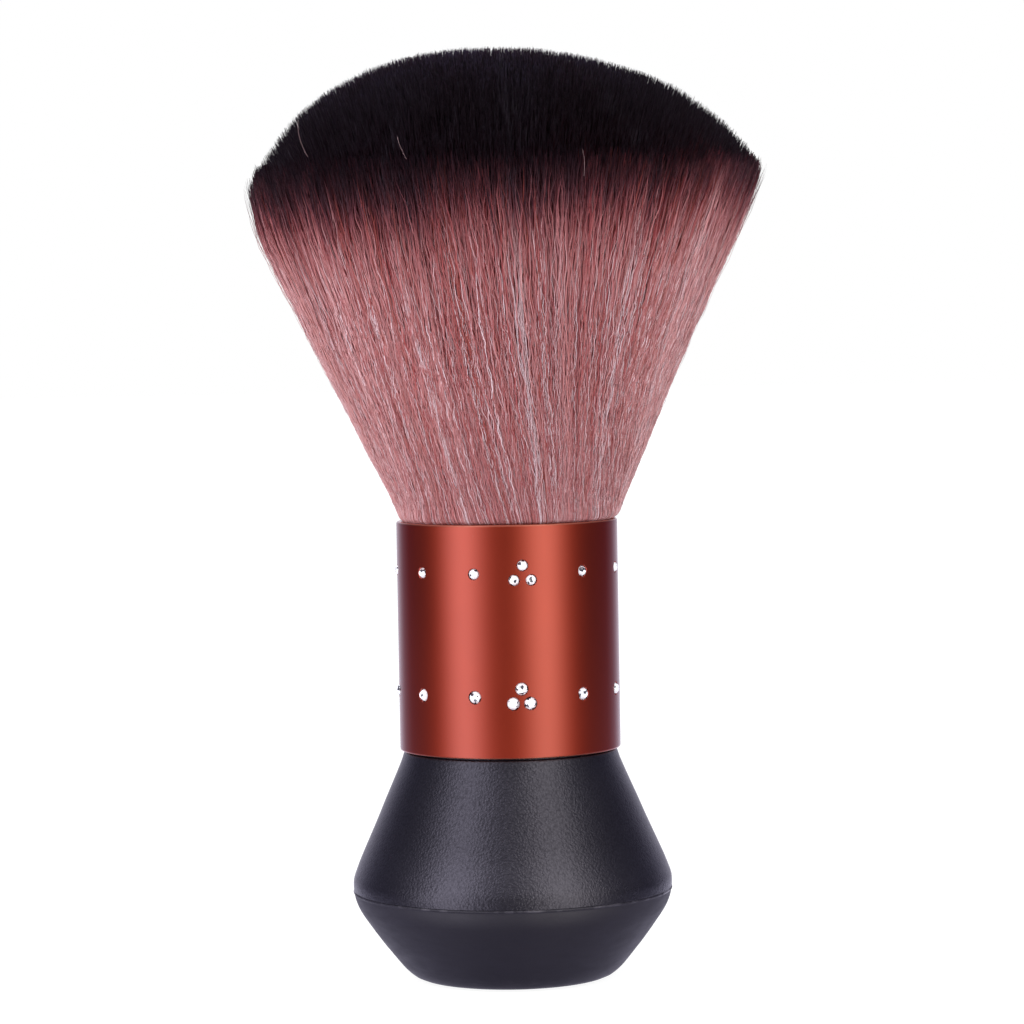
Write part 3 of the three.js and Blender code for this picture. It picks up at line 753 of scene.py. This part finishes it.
def turned_by(phi, z):
    """Interpolates TURN for filaments phi (n) at heights z (n, k)."""
    a = np.degrees(phi) % 360
    i0 = np.floor(a).astype(int) % 360
    fa = (a - np.floor(a))[:, None]
    h = np.clip(z - FLOW_Z[0], 0, len(FLOW_Z) - 1.001)
    j0 = np.floor(h).astype(int)
    fh = h - j0
    i0, i1 = i0[:, None], ((i0 + 1) % 360)[:, None]
    low = TURN[j0, i0] * (1 - fa) + TURN[j0, i1] * fa
    high = TURN[j0 + 1, i0] * (1 - fa) + TURN[j0 + 1, i1] * fa
    return low * (1 - fh) + high * fh


class Waves:
    """Smooth random function of a few numbers: a sum of sines with random directions and phases."""

    def __init__(self, rng, dims, scale, terms=7):
        self.k = rng.normal(0, scale, (terms, dims))
        self.p = rng.uniform(0, 2 * np.pi, terms)

    def __call__(self, *x):
        total = 0
        for k, p in zip(self.k, self.p):
            total = total + np.sin(sum(a * b for a, b in zip(k, x)) + p)
        return total / math.sqrt(len(self.p) / 2)


def clump_of(X, Y, cx, cy):
    """The nearest clump centre for each root, found in strips so that memory stays small."""
    nearest = np.zeros(len(X), int)
    for i in range(0, len(X), 1500):
        d = (X[i:i + 1500, None] - cx[None]) ** 2 + (Y[i:i + 1500, None] - cy[None]) ** 2
        nearest[i:i + 1500] = d.argmin(1)
    return nearest


DYE_X = [-42, -37, -30, -21.6, -13, -4.6, 0.5, 7, 16, 24, 33, 42]
DYE_LIFT = [-1.1, -1.1, -0.9, 0.7, -0.4, -0.8, -0.5, 0.1, 0.5, 0.1, -0.7, -0.9]


def dye_height(x, y):
    return np.interp(x, DYE_X, DYE_LIFT) + 129.35 + 0.045 * x + 0.0014 * x**2 + 0.25 * np.sin(x * 0.35 + 1.0) + 0.3 * np.sin(x * 0.13 + y * 0.11)


class Tuft:
    def __init__(self):
        rng = np.random.default_rng(SEED)
        self.rng = rng
        n = 4600
        rho = np.sqrt(rng.uniform(0, 1, n)) * 1.01
        phi = rng.uniform(0, 2 * np.pi, n)
        self.cx, self.cy = rho * np.cos(phi), rho * np.sin(phi)
        self.c_pull = rng.uniform(0.30, 0.78, n)
        self.c_phase = rng.uniform(0, 2 * np.pi, n)
        self.c_tone = rng.normal(0, 1, n)
        self.c_dye = rng.normal(0, 1.0, n)
        self.c_tip = rng.normal(0, 0.35, n)
        self.c_pale = rng.uniform(0, 1, n) < 0.035
        self.flow_x, self.flow_y = Waves(rng, 3, 4.5), Waves(rng, 3, 4.5)
        self.tone = Waves(rng, 2, 9.0)
        self.dye = Waves(rng, 2, 7.0)
        # broad pale locks, by direction at the collar and half-width
        self.locks = [(-20.8, 0.018), (21.0, 0.021), (26.5, 0.009), (56.0, 0.030), (6.0, 0.010), (-43.0, 0.010), (118.0, 0.026), (165.0, 0.020), (203.0, 0.030), (248.0, 0.022), (290.0, 0.012)]

    def filaments(self, n, rho_lo, rho_hi, step, thick, crimp=1.0, tip_jitter=0.7, drift=1.0, pale_share=0.085, top_only=None, tip_bias=0.0, taper=5.0, outward=0.0, fine_root=True, sector=(-180, 180)):
        """Centre lines (n, k, 3) in mm, radii (n, k), u (n) and v (n, k)."""
        rng = self.rng
        rho = np.sqrt(rng.uniform(rho_lo**2, rho_hi**2, n))
        phi = np.radians(rng.uniform(sector[0], sector[1], n))          # at z = 125, from the front (-Y) towards +X
        # pale filaments: strays anywhere, and locks; they lie on the outside
        pale = rng.uniform(0, 1, n) < pale_share
        at_collar = phi + turned_by(phi, np.full((n, 1), 78.0))[:, 0]
        for at, width in self.locks:
            off = np.abs((at_collar - math.radians(at) + np.pi) % (2 * np.pi) - np.pi)
            pale |= (off < width * rng.uniform(0.3, 1.6, n)) & (rng.uniform(0, 1, n) < 0.34)
        if top_only is None and rho_hi > 0.99:
            rho = np.where(pale, rng.uniform(0.985, 0.999, n), rho)
        X, Y = rho * np.sin(phi), -rho * np.cos(phi)
        c = clump_of(X, Y, self.cx, self.cy)
        w = rightness(phi)
        tip = tip_height(np.minimum(rho, 1.0), w) - np.abs(rng.normal(0, tip_jitter, n)) + self.c_tip[c] * (0.4 if top_only is None else 0.22) + tip_bias
        w = w[:, None]
        if top_only is None:
            root = np.array([77.0, 77.45, 77.8, 78.1, 78.45, 78.9, 79.4, 80.0]) if fine_root else np.array([77.0, 77.8, 78.6, 80.0])
            # short steps where the crimp shows, longer ones through the black end
            k = int(math.ceil((tip - 102.0).max() / step)) + 1
            ends = max(2.0, step)
            z = np.concatenate([np.repeat(root[None], n, 0), 80.0 + (tip - 102.0)[:, None] * np.linspace(0, 1, k)[None, 1:],
                                tip[:, None] - 22.0 * np.linspace(1, 0, int(22 / ends) + 1)[None, 1:]], 1)
        else:
            start = tip - top_only * rng.uniform(0.8, 1.2, n)
            z = start[:, None] + (tip - start)[:, None] * np.array([0.0, 0.42, 0.80, 0.92, 1.0])[None]
        rise = (z - 77.0) / 60.0
        along = np.clip(rise, 0, 1.4)
        loose = smooth01(77.9, 81.5, z)
        # clumps draw together towards their tips
        pull = (self.c_pull[c])[:, None] * smooth01(0.15, 1.0, along) ** 1.3 * (1.0 if top_only is None else 0.25)
        x0 = X[:, None] + (self.cx[c] - X)[:, None] * pull
        y0 = Y[:, None] + (self.cy[c] - Y)[:, None] * pull
        # slow shared flow, then each filament's own drift
        fx, fy = self.flow_x(X[:, None], Y[:, None], rise * 0.9), self.flow_y(X[:, None], Y[:, None], rise * 0.9)
        x0 = x0 + 0.008 * fx * loose
        y0 = y0 + 0.008 * fy * loose
        a_drift = rng.normal(0, 0.021 * drift, n)[:, None] * along
        r_drift = (np.clip(rng.normal(0, 0.012 * drift, n), -0.035, 0.008) * np.where(pale, 0.25, 1.0))[:, None] * along
        comb = turned_by(phi, z) * rng.normal(1, 0.10 * drift, n)[:, None]
        ang0 = np.arctan2(x0, -y0)
        R = fan(z, rightness(ang0)) * (1 + outward * rng.uniform(0, 1, n)[:, None] * along**1.5)
        if top_only is not None:         # inside the bundle filaments run straight up from the collar
            R = fan(tip[:, None], rightness(ang0)) * (1 - 0.0115 * (tip[:, None] - z))
            comb = comb[:, -1:] * np.ones_like(z)
        ang = ang0 + a_drift + comb
        rr = np.minimum(np.hypot(x0, y0) + r_drift, 1.002)
        r = rr * R
        s = z * 1.08
        own = rng.uniform(0, 2 * np.pi, (4, n, 1))
        length = rng.uniform(2.1, 3.5, n)[:, None]
        slow = 0.5 + 0.5 * np.sin(s / rng.uniform(5, 9, n)[:, None] + own[0])
        phase = self.c_phase[c][:, None] * 0.6 + own[1] * 0.35 + 0.5 * np.sin(s / 7.0 + own[2])
        zig = 2 / np.pi * np.arcsin(np.sin(2 * np.pi * s / length + phase))
        wav = np.sin(2 * np.pi * s / (length * 2.3) + own[3])
        lull = np.sin(2 * np.pi * s / rng.uniform(11, 19, n)[:, None] + own[1])
        crisp = (0.35 + 0.65 * slow) * (1 - smooth01(-25, -19, z - tip[:, None])) * (1.15 - 0.45 * along)
        side = crimp * loose * (0.150 * crisp * zig + 0.125 * wav + (0.10 + 0.16 * along) * lull)
        deep = crimp * loose * (0.080 * crisp * np.cos(2 * np.pi * s / length + phase) + 0.10 * np.sin(2 * np.pi * s / (length * 2.9) + own[2]))
        side = side + 0.035 * rng.normal(0, 1, side.shape) * crimp * loose
        r = r + deep - 0.12 * loose
        px = r * np.sin(ang) + side * np.cos(ang)
        py = -r * np.cos(ang) + side * np.sin(ang)
        P = np.stack([px, py, z], -1)
        rad = thick * (rng.uniform(0.7, 1.25, n) * np.where(pale, 0.68, 1.0))[:, None] * np.ones_like(z)
        if top_only is None:
            rad = rad * (0.64 + 0.36 * smooth01(79, 122, z))      # packed finer at the collar
        least = 0.16 if top_only is None else 0.32
        rad = rad * (least + (1 - least) * smooth01(0, 1, (tip[:, None] - z) / taper) ** 0.8)
        # colour number: tone of the neighbourhood, of the clump and of the filament
        tone = 0.41 + 0.09 * self.tone(X, Y) + 0.09 * self.c_tone[c] + 0.19 * rng.normal(0, 1, n)
        # a deeper, redder patch right of the middle, a lighter one on the left flank
        off = (phi - math.radians(25) + np.pi) % (2 * np.pi) - np.pi
        tone = tone - 0.26 * np.exp(-((off / math.radians(13)) ** 2))
        # the patch at -8 degrees darkens the middle of the front: painted shade; the one at 52 degrees lightens the
        # tone, the one at -58 degrees darkens it
        for at, width, amount in ((-8, 19, -0.16), (52, 13, 0.12), (-58, 12, -0.12)):
            off = (phi - math.radians(at) + np.pi) % (2 * np.pi) - np.pi
            tone = tone + amount * np.exp(-((off / math.radians(width)) ** 2))
        u = np.clip(tone, 0.005, 0.84)
        u = np.where(pale, rng.uniform(0.87, 0.99, n), u)
        zd = dye_height(px, py) + (0.9 * self.dye(X, Y) + 1.15 * self.c_dye[c] + rng.normal(0, 1.25, n))[:, None]
        v = 0.55 + (z - zd) / 110.0
        if top_only is not None:         # the last stretch to the cut ends is painted lighter and violet, a painted fringe of light at the tips
            v = np.minimum(v, 0.82) + 0.17 * smooth01(-0.85, 0, z - tip[:, None])
        return P, rad, u, np.clip(v, 0.001, 0.999)


def strand_mesh(name, P, rad, u, v):
    """Closed three-sided tapering tubes round the centre lines."""
    n, k, _ = P.shape
    T = np.gradient(P, axis=1)
    T /= np.linalg.norm(T, axis=2, keepdims=True)
    ref = np.zeros_like(P)
    ref[..., 0], ref[..., 1] = P[..., 0], P[..., 1]
    ref /= np.maximum(np.linalg.norm(ref, axis=2, keepdims=True), 1e-9)
    A = np.cross(T, ref)
    A /= np.maximum(np.linalg.norm(A, axis=2, keepdims=True), 1e-9)
    B = np.cross(T, A)
    turn = (np.arange(n) * 2.399963)[:, None]
    rings = []
    for j in range(3):
        a = turn + j * 2 * np.pi / 3
        rings.append(P + rad[..., None] * (np.cos(a)[..., None] * A + np.sin(a)[..., None] * B))
    V = np.stack(rings, 2).reshape(-1, 3) * MM                     # (n, k, 3 corners)
    idx = np.arange(n * k * 3).reshape(n, k, 3)
    a, b = idx[:, :-1, :], idx[:, 1:, :]
    a2, b2 = np.roll(a, -1, axis=2), np.roll(b, -1, axis=2)
    quads = np.stack([a, a2, b2, b], -1).reshape(-1, 4)
    low, high = idx[:, 0, ::-1].reshape(-1, 3), idx[:, -1, :].reshape(-1, 3)
    loops = np.concatenate([quads.ravel(), low.ravel(), high.ravel()])
    q, c = len(quads), len(low)
    starts = np.concatenate([np.arange(q) * 4, q * 4 + np.arange(2 * c) * 3])
    # across the tube the filament takes a narrow strip of the map, so it can be baked
    W = np.repeat(v.reshape(-1), 3)[loops]
    strip = np.tile([0, 1, 1, 0], q) + np.tile(np.repeat([0, 1, 2], 4), q // 3)
    strip = np.concatenate([strip, np.tile([0, 1, 2], 2 * c)])
    own = np.concatenate([np.repeat(u, (k - 1) * 12), np.repeat(u, 3), np.repeat(u, 3)])
    uv = np.stack([own + 0.0013 * strip, W], -1)
    me = raw_mesh(name, V, loops, starts, uv, "OFBake")
    # right way out: the first quad's normal points away from its centre line
    p0 = me.polygons[0]
    away = Vector(p0.center) - Vector(P[0, 0] * MM + P[0, 1] * MM) * 0.5
    if p0.normal.dot(away) < 0:
        me.flip_normals()
    return me


def add_filaments(tuft, material, name, pieces, **kw):
    P, rad, u, v = tuft.filaments(**kw)
    # neighbouring pieces are sectors round the axis
    order = np.argsort(np.arctan2(P[:, -1, 0], -P[:, -1, 1]))
    made = []
    for i, part in enumerate(np.array_split(order, pieces)):
        full = f"{name}_{i + 1:02d}"
        made.append(put(full, strand_mesh(full, P[part], rad[part], u[part], v[part]), material))
    return made


def tuft_core():
    """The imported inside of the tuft: gathered root, throat and fan up to a little under the dome, with ridges along the fan."""
    rng = np.random.default_rng(SEED + 9)
    share = 0.940
    zs = np.concatenate([np.linspace(76.3, 80.4, 7), np.linspace(82.0, 126.0, 34)])
    out = [(0, 57.05), (15.2, 57.05), (15.4, 57.35), (15.3, 58.25), (15.1, 58.55), (15.1, 61.95), (15.5, 62.75), (15.9, 66.5), (16.0, 71.45), (16.05, 75.0)]
    first = len(out)
    out += [(float(fan(z)) * (share + 0.030 * (1 - smooth01(77, 90, z))), float(z)) for z in zs]
    last = len(out)
    z_last = out[-1][1]
    for i, r in enumerate(np.linspace(float(fan(126.0)) * share, 0, 30)[1:]):
        under = min(float(dome(r / share, 0.0)), float(dome(r / share, 1.0))) - 8.4 - 1.6 * smooth01(20, 34, r)
        out.append((float(r), max(float(under), z_last + 0.17 + 0.02 * i)))
    ridge = Waves(rng, 2, 60.0, 14)
    wide = Waves(rng, 2, 16.0, 9)

    def shape(th, i, r, z):
        rr = np.full(len(th), float(r))
        if first <= i < last:
            rr = rr * fan(z, rightness(th)) / fan(z)
        if i >= first + 2 and r > 2:
            amount = 0.14 * smooth01(78, 90, z) * min(1.0, r / 12)
            rr = rr + amount * (ridge(np.sin(th), np.cos(th)) + 0.8 * wide(np.sin(th), np.cos(th)))
        return rr

    me = turned("tuft_core", out, 360, shape=shape)
    crease(me, 60)
    return put("tuft_core", me, core_material(), replaces=("bristle_tuft",))


# ------------------------------------------------------------------ build
base_lower()
base_upper()
ferrule()
stone_rows()
for node, material in (("tuft_cup", inner_plastic_material()), ("root_glue_plug", glue_material()), ("root_binding", thread_material())):
    ob = frame["nodes"][node]
    ob.data.materials.clear()
    ob.data.materials.append(material)
    for s in ob.material_slots:
        s.link = "OBJECT"
        s.material = material

tuft_core()
tuft = Tuft()
hair = filament_material()
shaded_deep_hair = filament_material("dyed_filament_deep_shaded", deep=True)
cut = 1.0
FRONT, BACK = (-106, 106), (104, 256)
add_filaments(tuft, hair, "tuft_front", 10, n=int(4100 * cut), rho_lo=0.960, rho_hi=0.998, step=0.84, thick=0.090, tip_jitter=0.7, pale_share=0.05, sector=FRONT)
add_filaments(tuft, hair, "tuft_back", 3, n=int(1500 * cut), rho_lo=0.955, rho_hi=0.998, step=1.3, thick=0.13, tip_jitter=0.7, pale_share=0.05, sector=BACK)
add_filaments(tuft, shaded_deep_hair, "tuft_under_front", 3, n=int(2400 * cut), rho_lo=0.938, rho_hi=0.966, step=2.4, thick=0.14, crimp=0.8, tip_jitter=0.8, pale_share=0.0, fine_root=False, sector=FRONT)
add_filaments(tuft, shaded_deep_hair, "tuft_under_back", 1, n=int(900 * cut), rho_lo=0.938, rho_hi=0.966, step=3.0, thick=0.18, crimp=0.8, tip_jitter=0.8, pale_share=0.0, fine_root=False, sector=BACK)
add_filaments(tuft, hair, "tuft_dome", 6, n=int(42000 * cut), rho_lo=0.0, rho_hi=0.972, top_only=11.0, step=4.0, thick=0.064, crimp=0.5, tip_jitter=0.52, pale_share=0.0, taper=2.3)
add_filaments(tuft, hair, "tuft_flyaway", 1, n=int(700 * cut), rho_lo=0.980, rho_hi=0.997, step=1.3, thick=0.042, crimp=1.6, tip_jitter=1.2, drift=1.6, pale_share=0.30, tip_bias=0.3, outward=0.028)


# a few loose undyed hairs lie on the black end: (x, z) of their ends and middle, on the front
loose = []
for points in ([(-33.4, 145.2), (-33.3, 142.0), (-31.2, 138.6)], [(-16.4, 141.2), (-16.1, 139.6), (-14.9, 137.4)], [(13.0, 138.5), (13.5, 136.6), (13.2, 134.2)]):
    t = np.linspace(0, 1, 12)[:, None]
    a, b, c = np.array(points)
    line = a * (1 - t) ** 2 + 2 * b * t * (1 - t) + c * t**2
    rs = np.linspace(8, 47, 400)
    side = 1.0 if a[0] > 0 else 0.0
    r = np.minimum(np.interp(-line[:, 1], -dome(rs, side), rs), fan(line[:, 1], side)) + 0.18
    loose.append(np.stack([line[:, 0], -np.sqrt(np.maximum(r**2 - line[:, 0] ** 2, 1.0)), line[:, 1]], -1))
loose = np.array(loose)
put("tuft_loose_hairs", strand_mesh("tuft_loose_hairs", loose, np.full(loose.shape[:2], 0.017), np.full(len(loose), 0.90), np.full(loose.shape[:2], 0.2)), hair)


# ------------------------------------------------------------------ stage, light and camera
def world():
    w = bpy.data.worlds.new("studio")
    scene.world = w
    w.use_nodes = True
    if hasattr(w, "cycles"):
        w.cycles.sampling_method = "NONE"      # one look for reflections and one for soft light, never mixed
    nt = w.node_tree
    nt.nodes.clear()
    out = nt.nodes.new("ShaderNodeOutputWorld")
    path = nt.nodes.new("ShaderNodeLightPath")
    co = nt.nodes.new("ShaderNodeTexCoord")
    xyz = nt.nodes.new("ShaderNodeSeparateXYZ")
    nt.links.new(co.outputs["Generated"], xyz.inputs[0])

    def ramp(socket, stops):
        n = nt.nodes.new("ShaderNodeValToRGB")
        els = n.color_ramp.elements
        while len(els) < len(stops):
            els.new(1.0)
        for e, (p, c) in zip(els, stops):
            e.position = p
            e.color = (c, c, c, 1) if isinstance(c, (int, float)) else (*c, 1)
        nt.links.new(socket, n.inputs[0])
        return n.outputs[0]

    def math_node(op, a, b):
        n = nt.nodes.new("ShaderNodeMath")
        n.operation = op
        for s, v in zip(n.inputs, (a, b)):
            if isinstance(v, bpy.types.NodeSocket):
                nt.links.new(v, s)
            else:
                s.default_value = v
        return n.outputs[0]

    def add(a, b, how="ADD"):
        n = nt.nodes.new("ShaderNodeMix")
        n.data_type, n.blend_type = "RGBA", how
        n.inputs[0].default_value = 1.0
        nt.links.new(a, n.inputs[6])
        nt.links.new(b, n.inputs[7])
        return n.outputs[2]

    # reflections see a bright backdrop behind the object, dim flanks, a soft top and a pale bench below
    half = math_node("ADD", math_node("MULTIPLY", xyz.outputs[1], 0.5), 0.5)
    back = ramp(half, [(0.0, (0.042, 0.040, 0.052)), (0.60, (0.018, 0.018, 0.042)), (0.78, (0.026, 0.025, 0.056)), (0.88, (0.20, 0.195, 0.27)), (0.95, (0.60, 0.58, 0.72)), (1.0, (0.90, 0.88, 1.0))])
    top = ramp(xyz.outputs[2], [(0.0, 0.0), (0.55, 0.08), (1.0, 0.50)])
    bench = ramp(math_node("MULTIPLY", xyz.outputs[2], -1.0), [(0.0, 0.0), (0.05, 0.005), (0.13, (0.16, 0.157, 0.19)), (0.32, (0.42, 0.41, 0.50)), (0.60, (0.46, 0.445, 0.55)), (1.0, (0.40, 0.385, 0.48))])
    behind = ramp(half, [(0.0, 0.10), (0.45, 0.21), (0.70, 0.75), (0.85, 1.2), (1.0, 1.2)])
    glossy = nt.nodes.new("ShaderNodeBackground")
    nt.links.new(add(add(back, top), add(bench, behind, "MULTIPLY")), glossy.inputs[0])
    # diffuse light comes from all round, a little more from above
    soft = nt.nodes.new("ShaderNodeBackground")
    nt.links.new(ramp(math_node("ADD", math_node("MULTIPLY", xyz.outputs[2], 0.5), 0.5), [(0.0, (0.74, 0.72, 0.77)), (0.5, (0.87, 0.85, 0.89)), (1.0, (1.16, 1.14, 1.18))]), soft.inputs[0])
    white = nt.nodes.new("ShaderNodeBackground")
    white.inputs[0].default_value = (1, 1, 1, 1)
    a = nt.nodes.new("ShaderNodeMixShader")
    nt.links.new(path.outputs["Is Glossy Ray"], a.inputs[0])
    nt.links.new(soft.outputs[0], a.inputs[1])
    nt.links.new(glossy.outputs[0], a.inputs[2])
    b = nt.nodes.new("ShaderNodeMixShader")
    nt.links.new(path.outputs["Is Camera Ray"], b.inputs[0])
    nt.links.new(a.outputs[0], b.inputs[1])
    nt.links.new(white.outputs[0], b.inputs[2])
    nt.links.new(b.outputs[0], out.inputs[0])


def floor():
    m = Nodes("pale_floor")
    path = m.node("ShaderNodeLightPath")
    shown = m.node("ShaderNodeAddShader")
    m.feed(shown.inputs[0], m.node("ShaderNodeBsdfDiffuse", Color=(0.20, 0.20, 0.205, 1)))
    m.feed(shown.inputs[1], m.node("ShaderNodeEmission", Color=(1, 1, 1, 1), Strength=0.90))
    lit = m.node("ShaderNodeBsdfDiffuse", Color=(0.75, 0.75, 0.77, 1))
    b = m.node("ShaderNodeMixShader", Fac=path.outputs["Is Camera Ray"])
    m.feed(b.inputs[1], lit)
    m.feed(b.inputs[2], shown)
    material = m.finish(b)
    me = bpy.data.meshes.new("floor")
    n = 96
    ring = [(6 * math.cos(2 * math.pi * k / n), 6 * math.sin(2 * math.pi * k / n), 0) for k in range(n)]
    me.from_pydata([(0, 0, 0)] + ring, [], [(0, k + 1, (k + 1) % n + 1) for k in range(n)])
    ob = bpy.data.objects.new("floor", me)
    scene.collection.objects.link(ob)
    ob.location.z = -0.0002
    ob.visible_glossy = False
    ob.visible_shadow = False
    me.materials.append(material)


def softbox(name, azimuth, distance, width, height, radiance, sigma, z, colour=(1, 1, 1), shiny=True):
    """A tall diffused panel, brightest along its middle, at an azimuth measured from the front towards +X."""
    a = math.radians(azimuth)
    d = Vector((math.sin(a), -math.cos(a), 0))
    light = bpy.data.lights.new(name, "AREA")
    light.shape = "RECTANGLE"
    light.size, light.size_y = width, height
    light.energy = radiance * math.pi * width * height
    light.color = colour
    light.use_nodes = True
    nt = light.node_tree
    nt.nodes.clear()
    out = nt.nodes.new("ShaderNodeOutputLight")
    glow = nt.nodes.new("ShaderNodeEmission")
    geo = nt.nodes.new("ShaderNodeNewGeometry")
    xyz = nt.nodes.new("ShaderNodeSeparateXYZ")
    nt.links.new(geo.outputs["Parametric"], xyz.inputs[0])

    def op(kind, a, b=0.0):
        n = nt.nodes.new("ShaderNodeMath")
        n.operation = kind
        for s, v in zip(n.inputs, (a, b)):
            if isinstance(v, bpy.types.NodeSocket):
                nt.links.new(v, s)
            else:
                s.default_value = v
        return n.outputs[0]

    off = op("DIVIDE", op("SUBTRACT", xyz.outputs[0], 0.5), sigma)
    nt.links.new(op("EXPONENT", op("MULTIPLY", op("MULTIPLY", off, off), -1.0)), glow.inputs["Strength"])
    nt.links.new(glow.outputs[0], out.inputs[0])
    ob = bpy.data.objects.new(name, light)
    scene.collection.objects.link(ob)
    ob.location = d * distance
    ob.location.z = z
    ob.rotation_euler = d.to_track_quat("Z", "Y").to_euler()
    ob.visible_camera = False
    ob.visible_glossy = shiny
    return ob


world()
floor()
softbox("left_panel", -47.0, 1.0, 2.0, 2.8, 1.61, 0.178, 0.22, (1.0, 0.985, 1.0))
softbox("right_panel", 38, 1.0, 2.0, 2.8, 1.55, 0.176, 0.22, (1.0, 0.975, 0.86))
softbox("left_fill", -84, 1.0, 1.6, 1.8, 1.95, 0.4, 0.20, (1.0, 0.99, 1.0), shiny=False)
softbox("right_fill", 84, 1.0, 1.6, 1.8, 1.60, 0.4, 0.20, (1.0, 0.98, 0.985), shiny=False)

DISTANCE, EYE, AIM, FOCAL = 640.0, 110.45, 78.45, 3765.8
cam_data = bpy.data.cameras.new("camera")
cam_data.sensor_width = 36
cam_data.lens = FOCAL / 1024 * 36
cam_data.shift_x = 5.5 / 1024
cam_data.shift_y = 3.6 / 1024
cam_data.clip_start, cam_data.clip_end = 0.01, 50
cam = bpy.data.objects.new("camera", cam_data)
scene.collection.objects.link(cam)
eye, aim = Vector((0, -DISTANCE * MM, EYE * MM)), Vector((0, 0, AIM * MM))
look = (aim - eye).to_track_quat("-Z", "Y").to_matrix().to_4x4()
cam.matrix_world = Matrix.Translation(eye) @ look @ Matrix.Rotation(math.radians(-1.0), 4, "Z")
scene.camera = cam
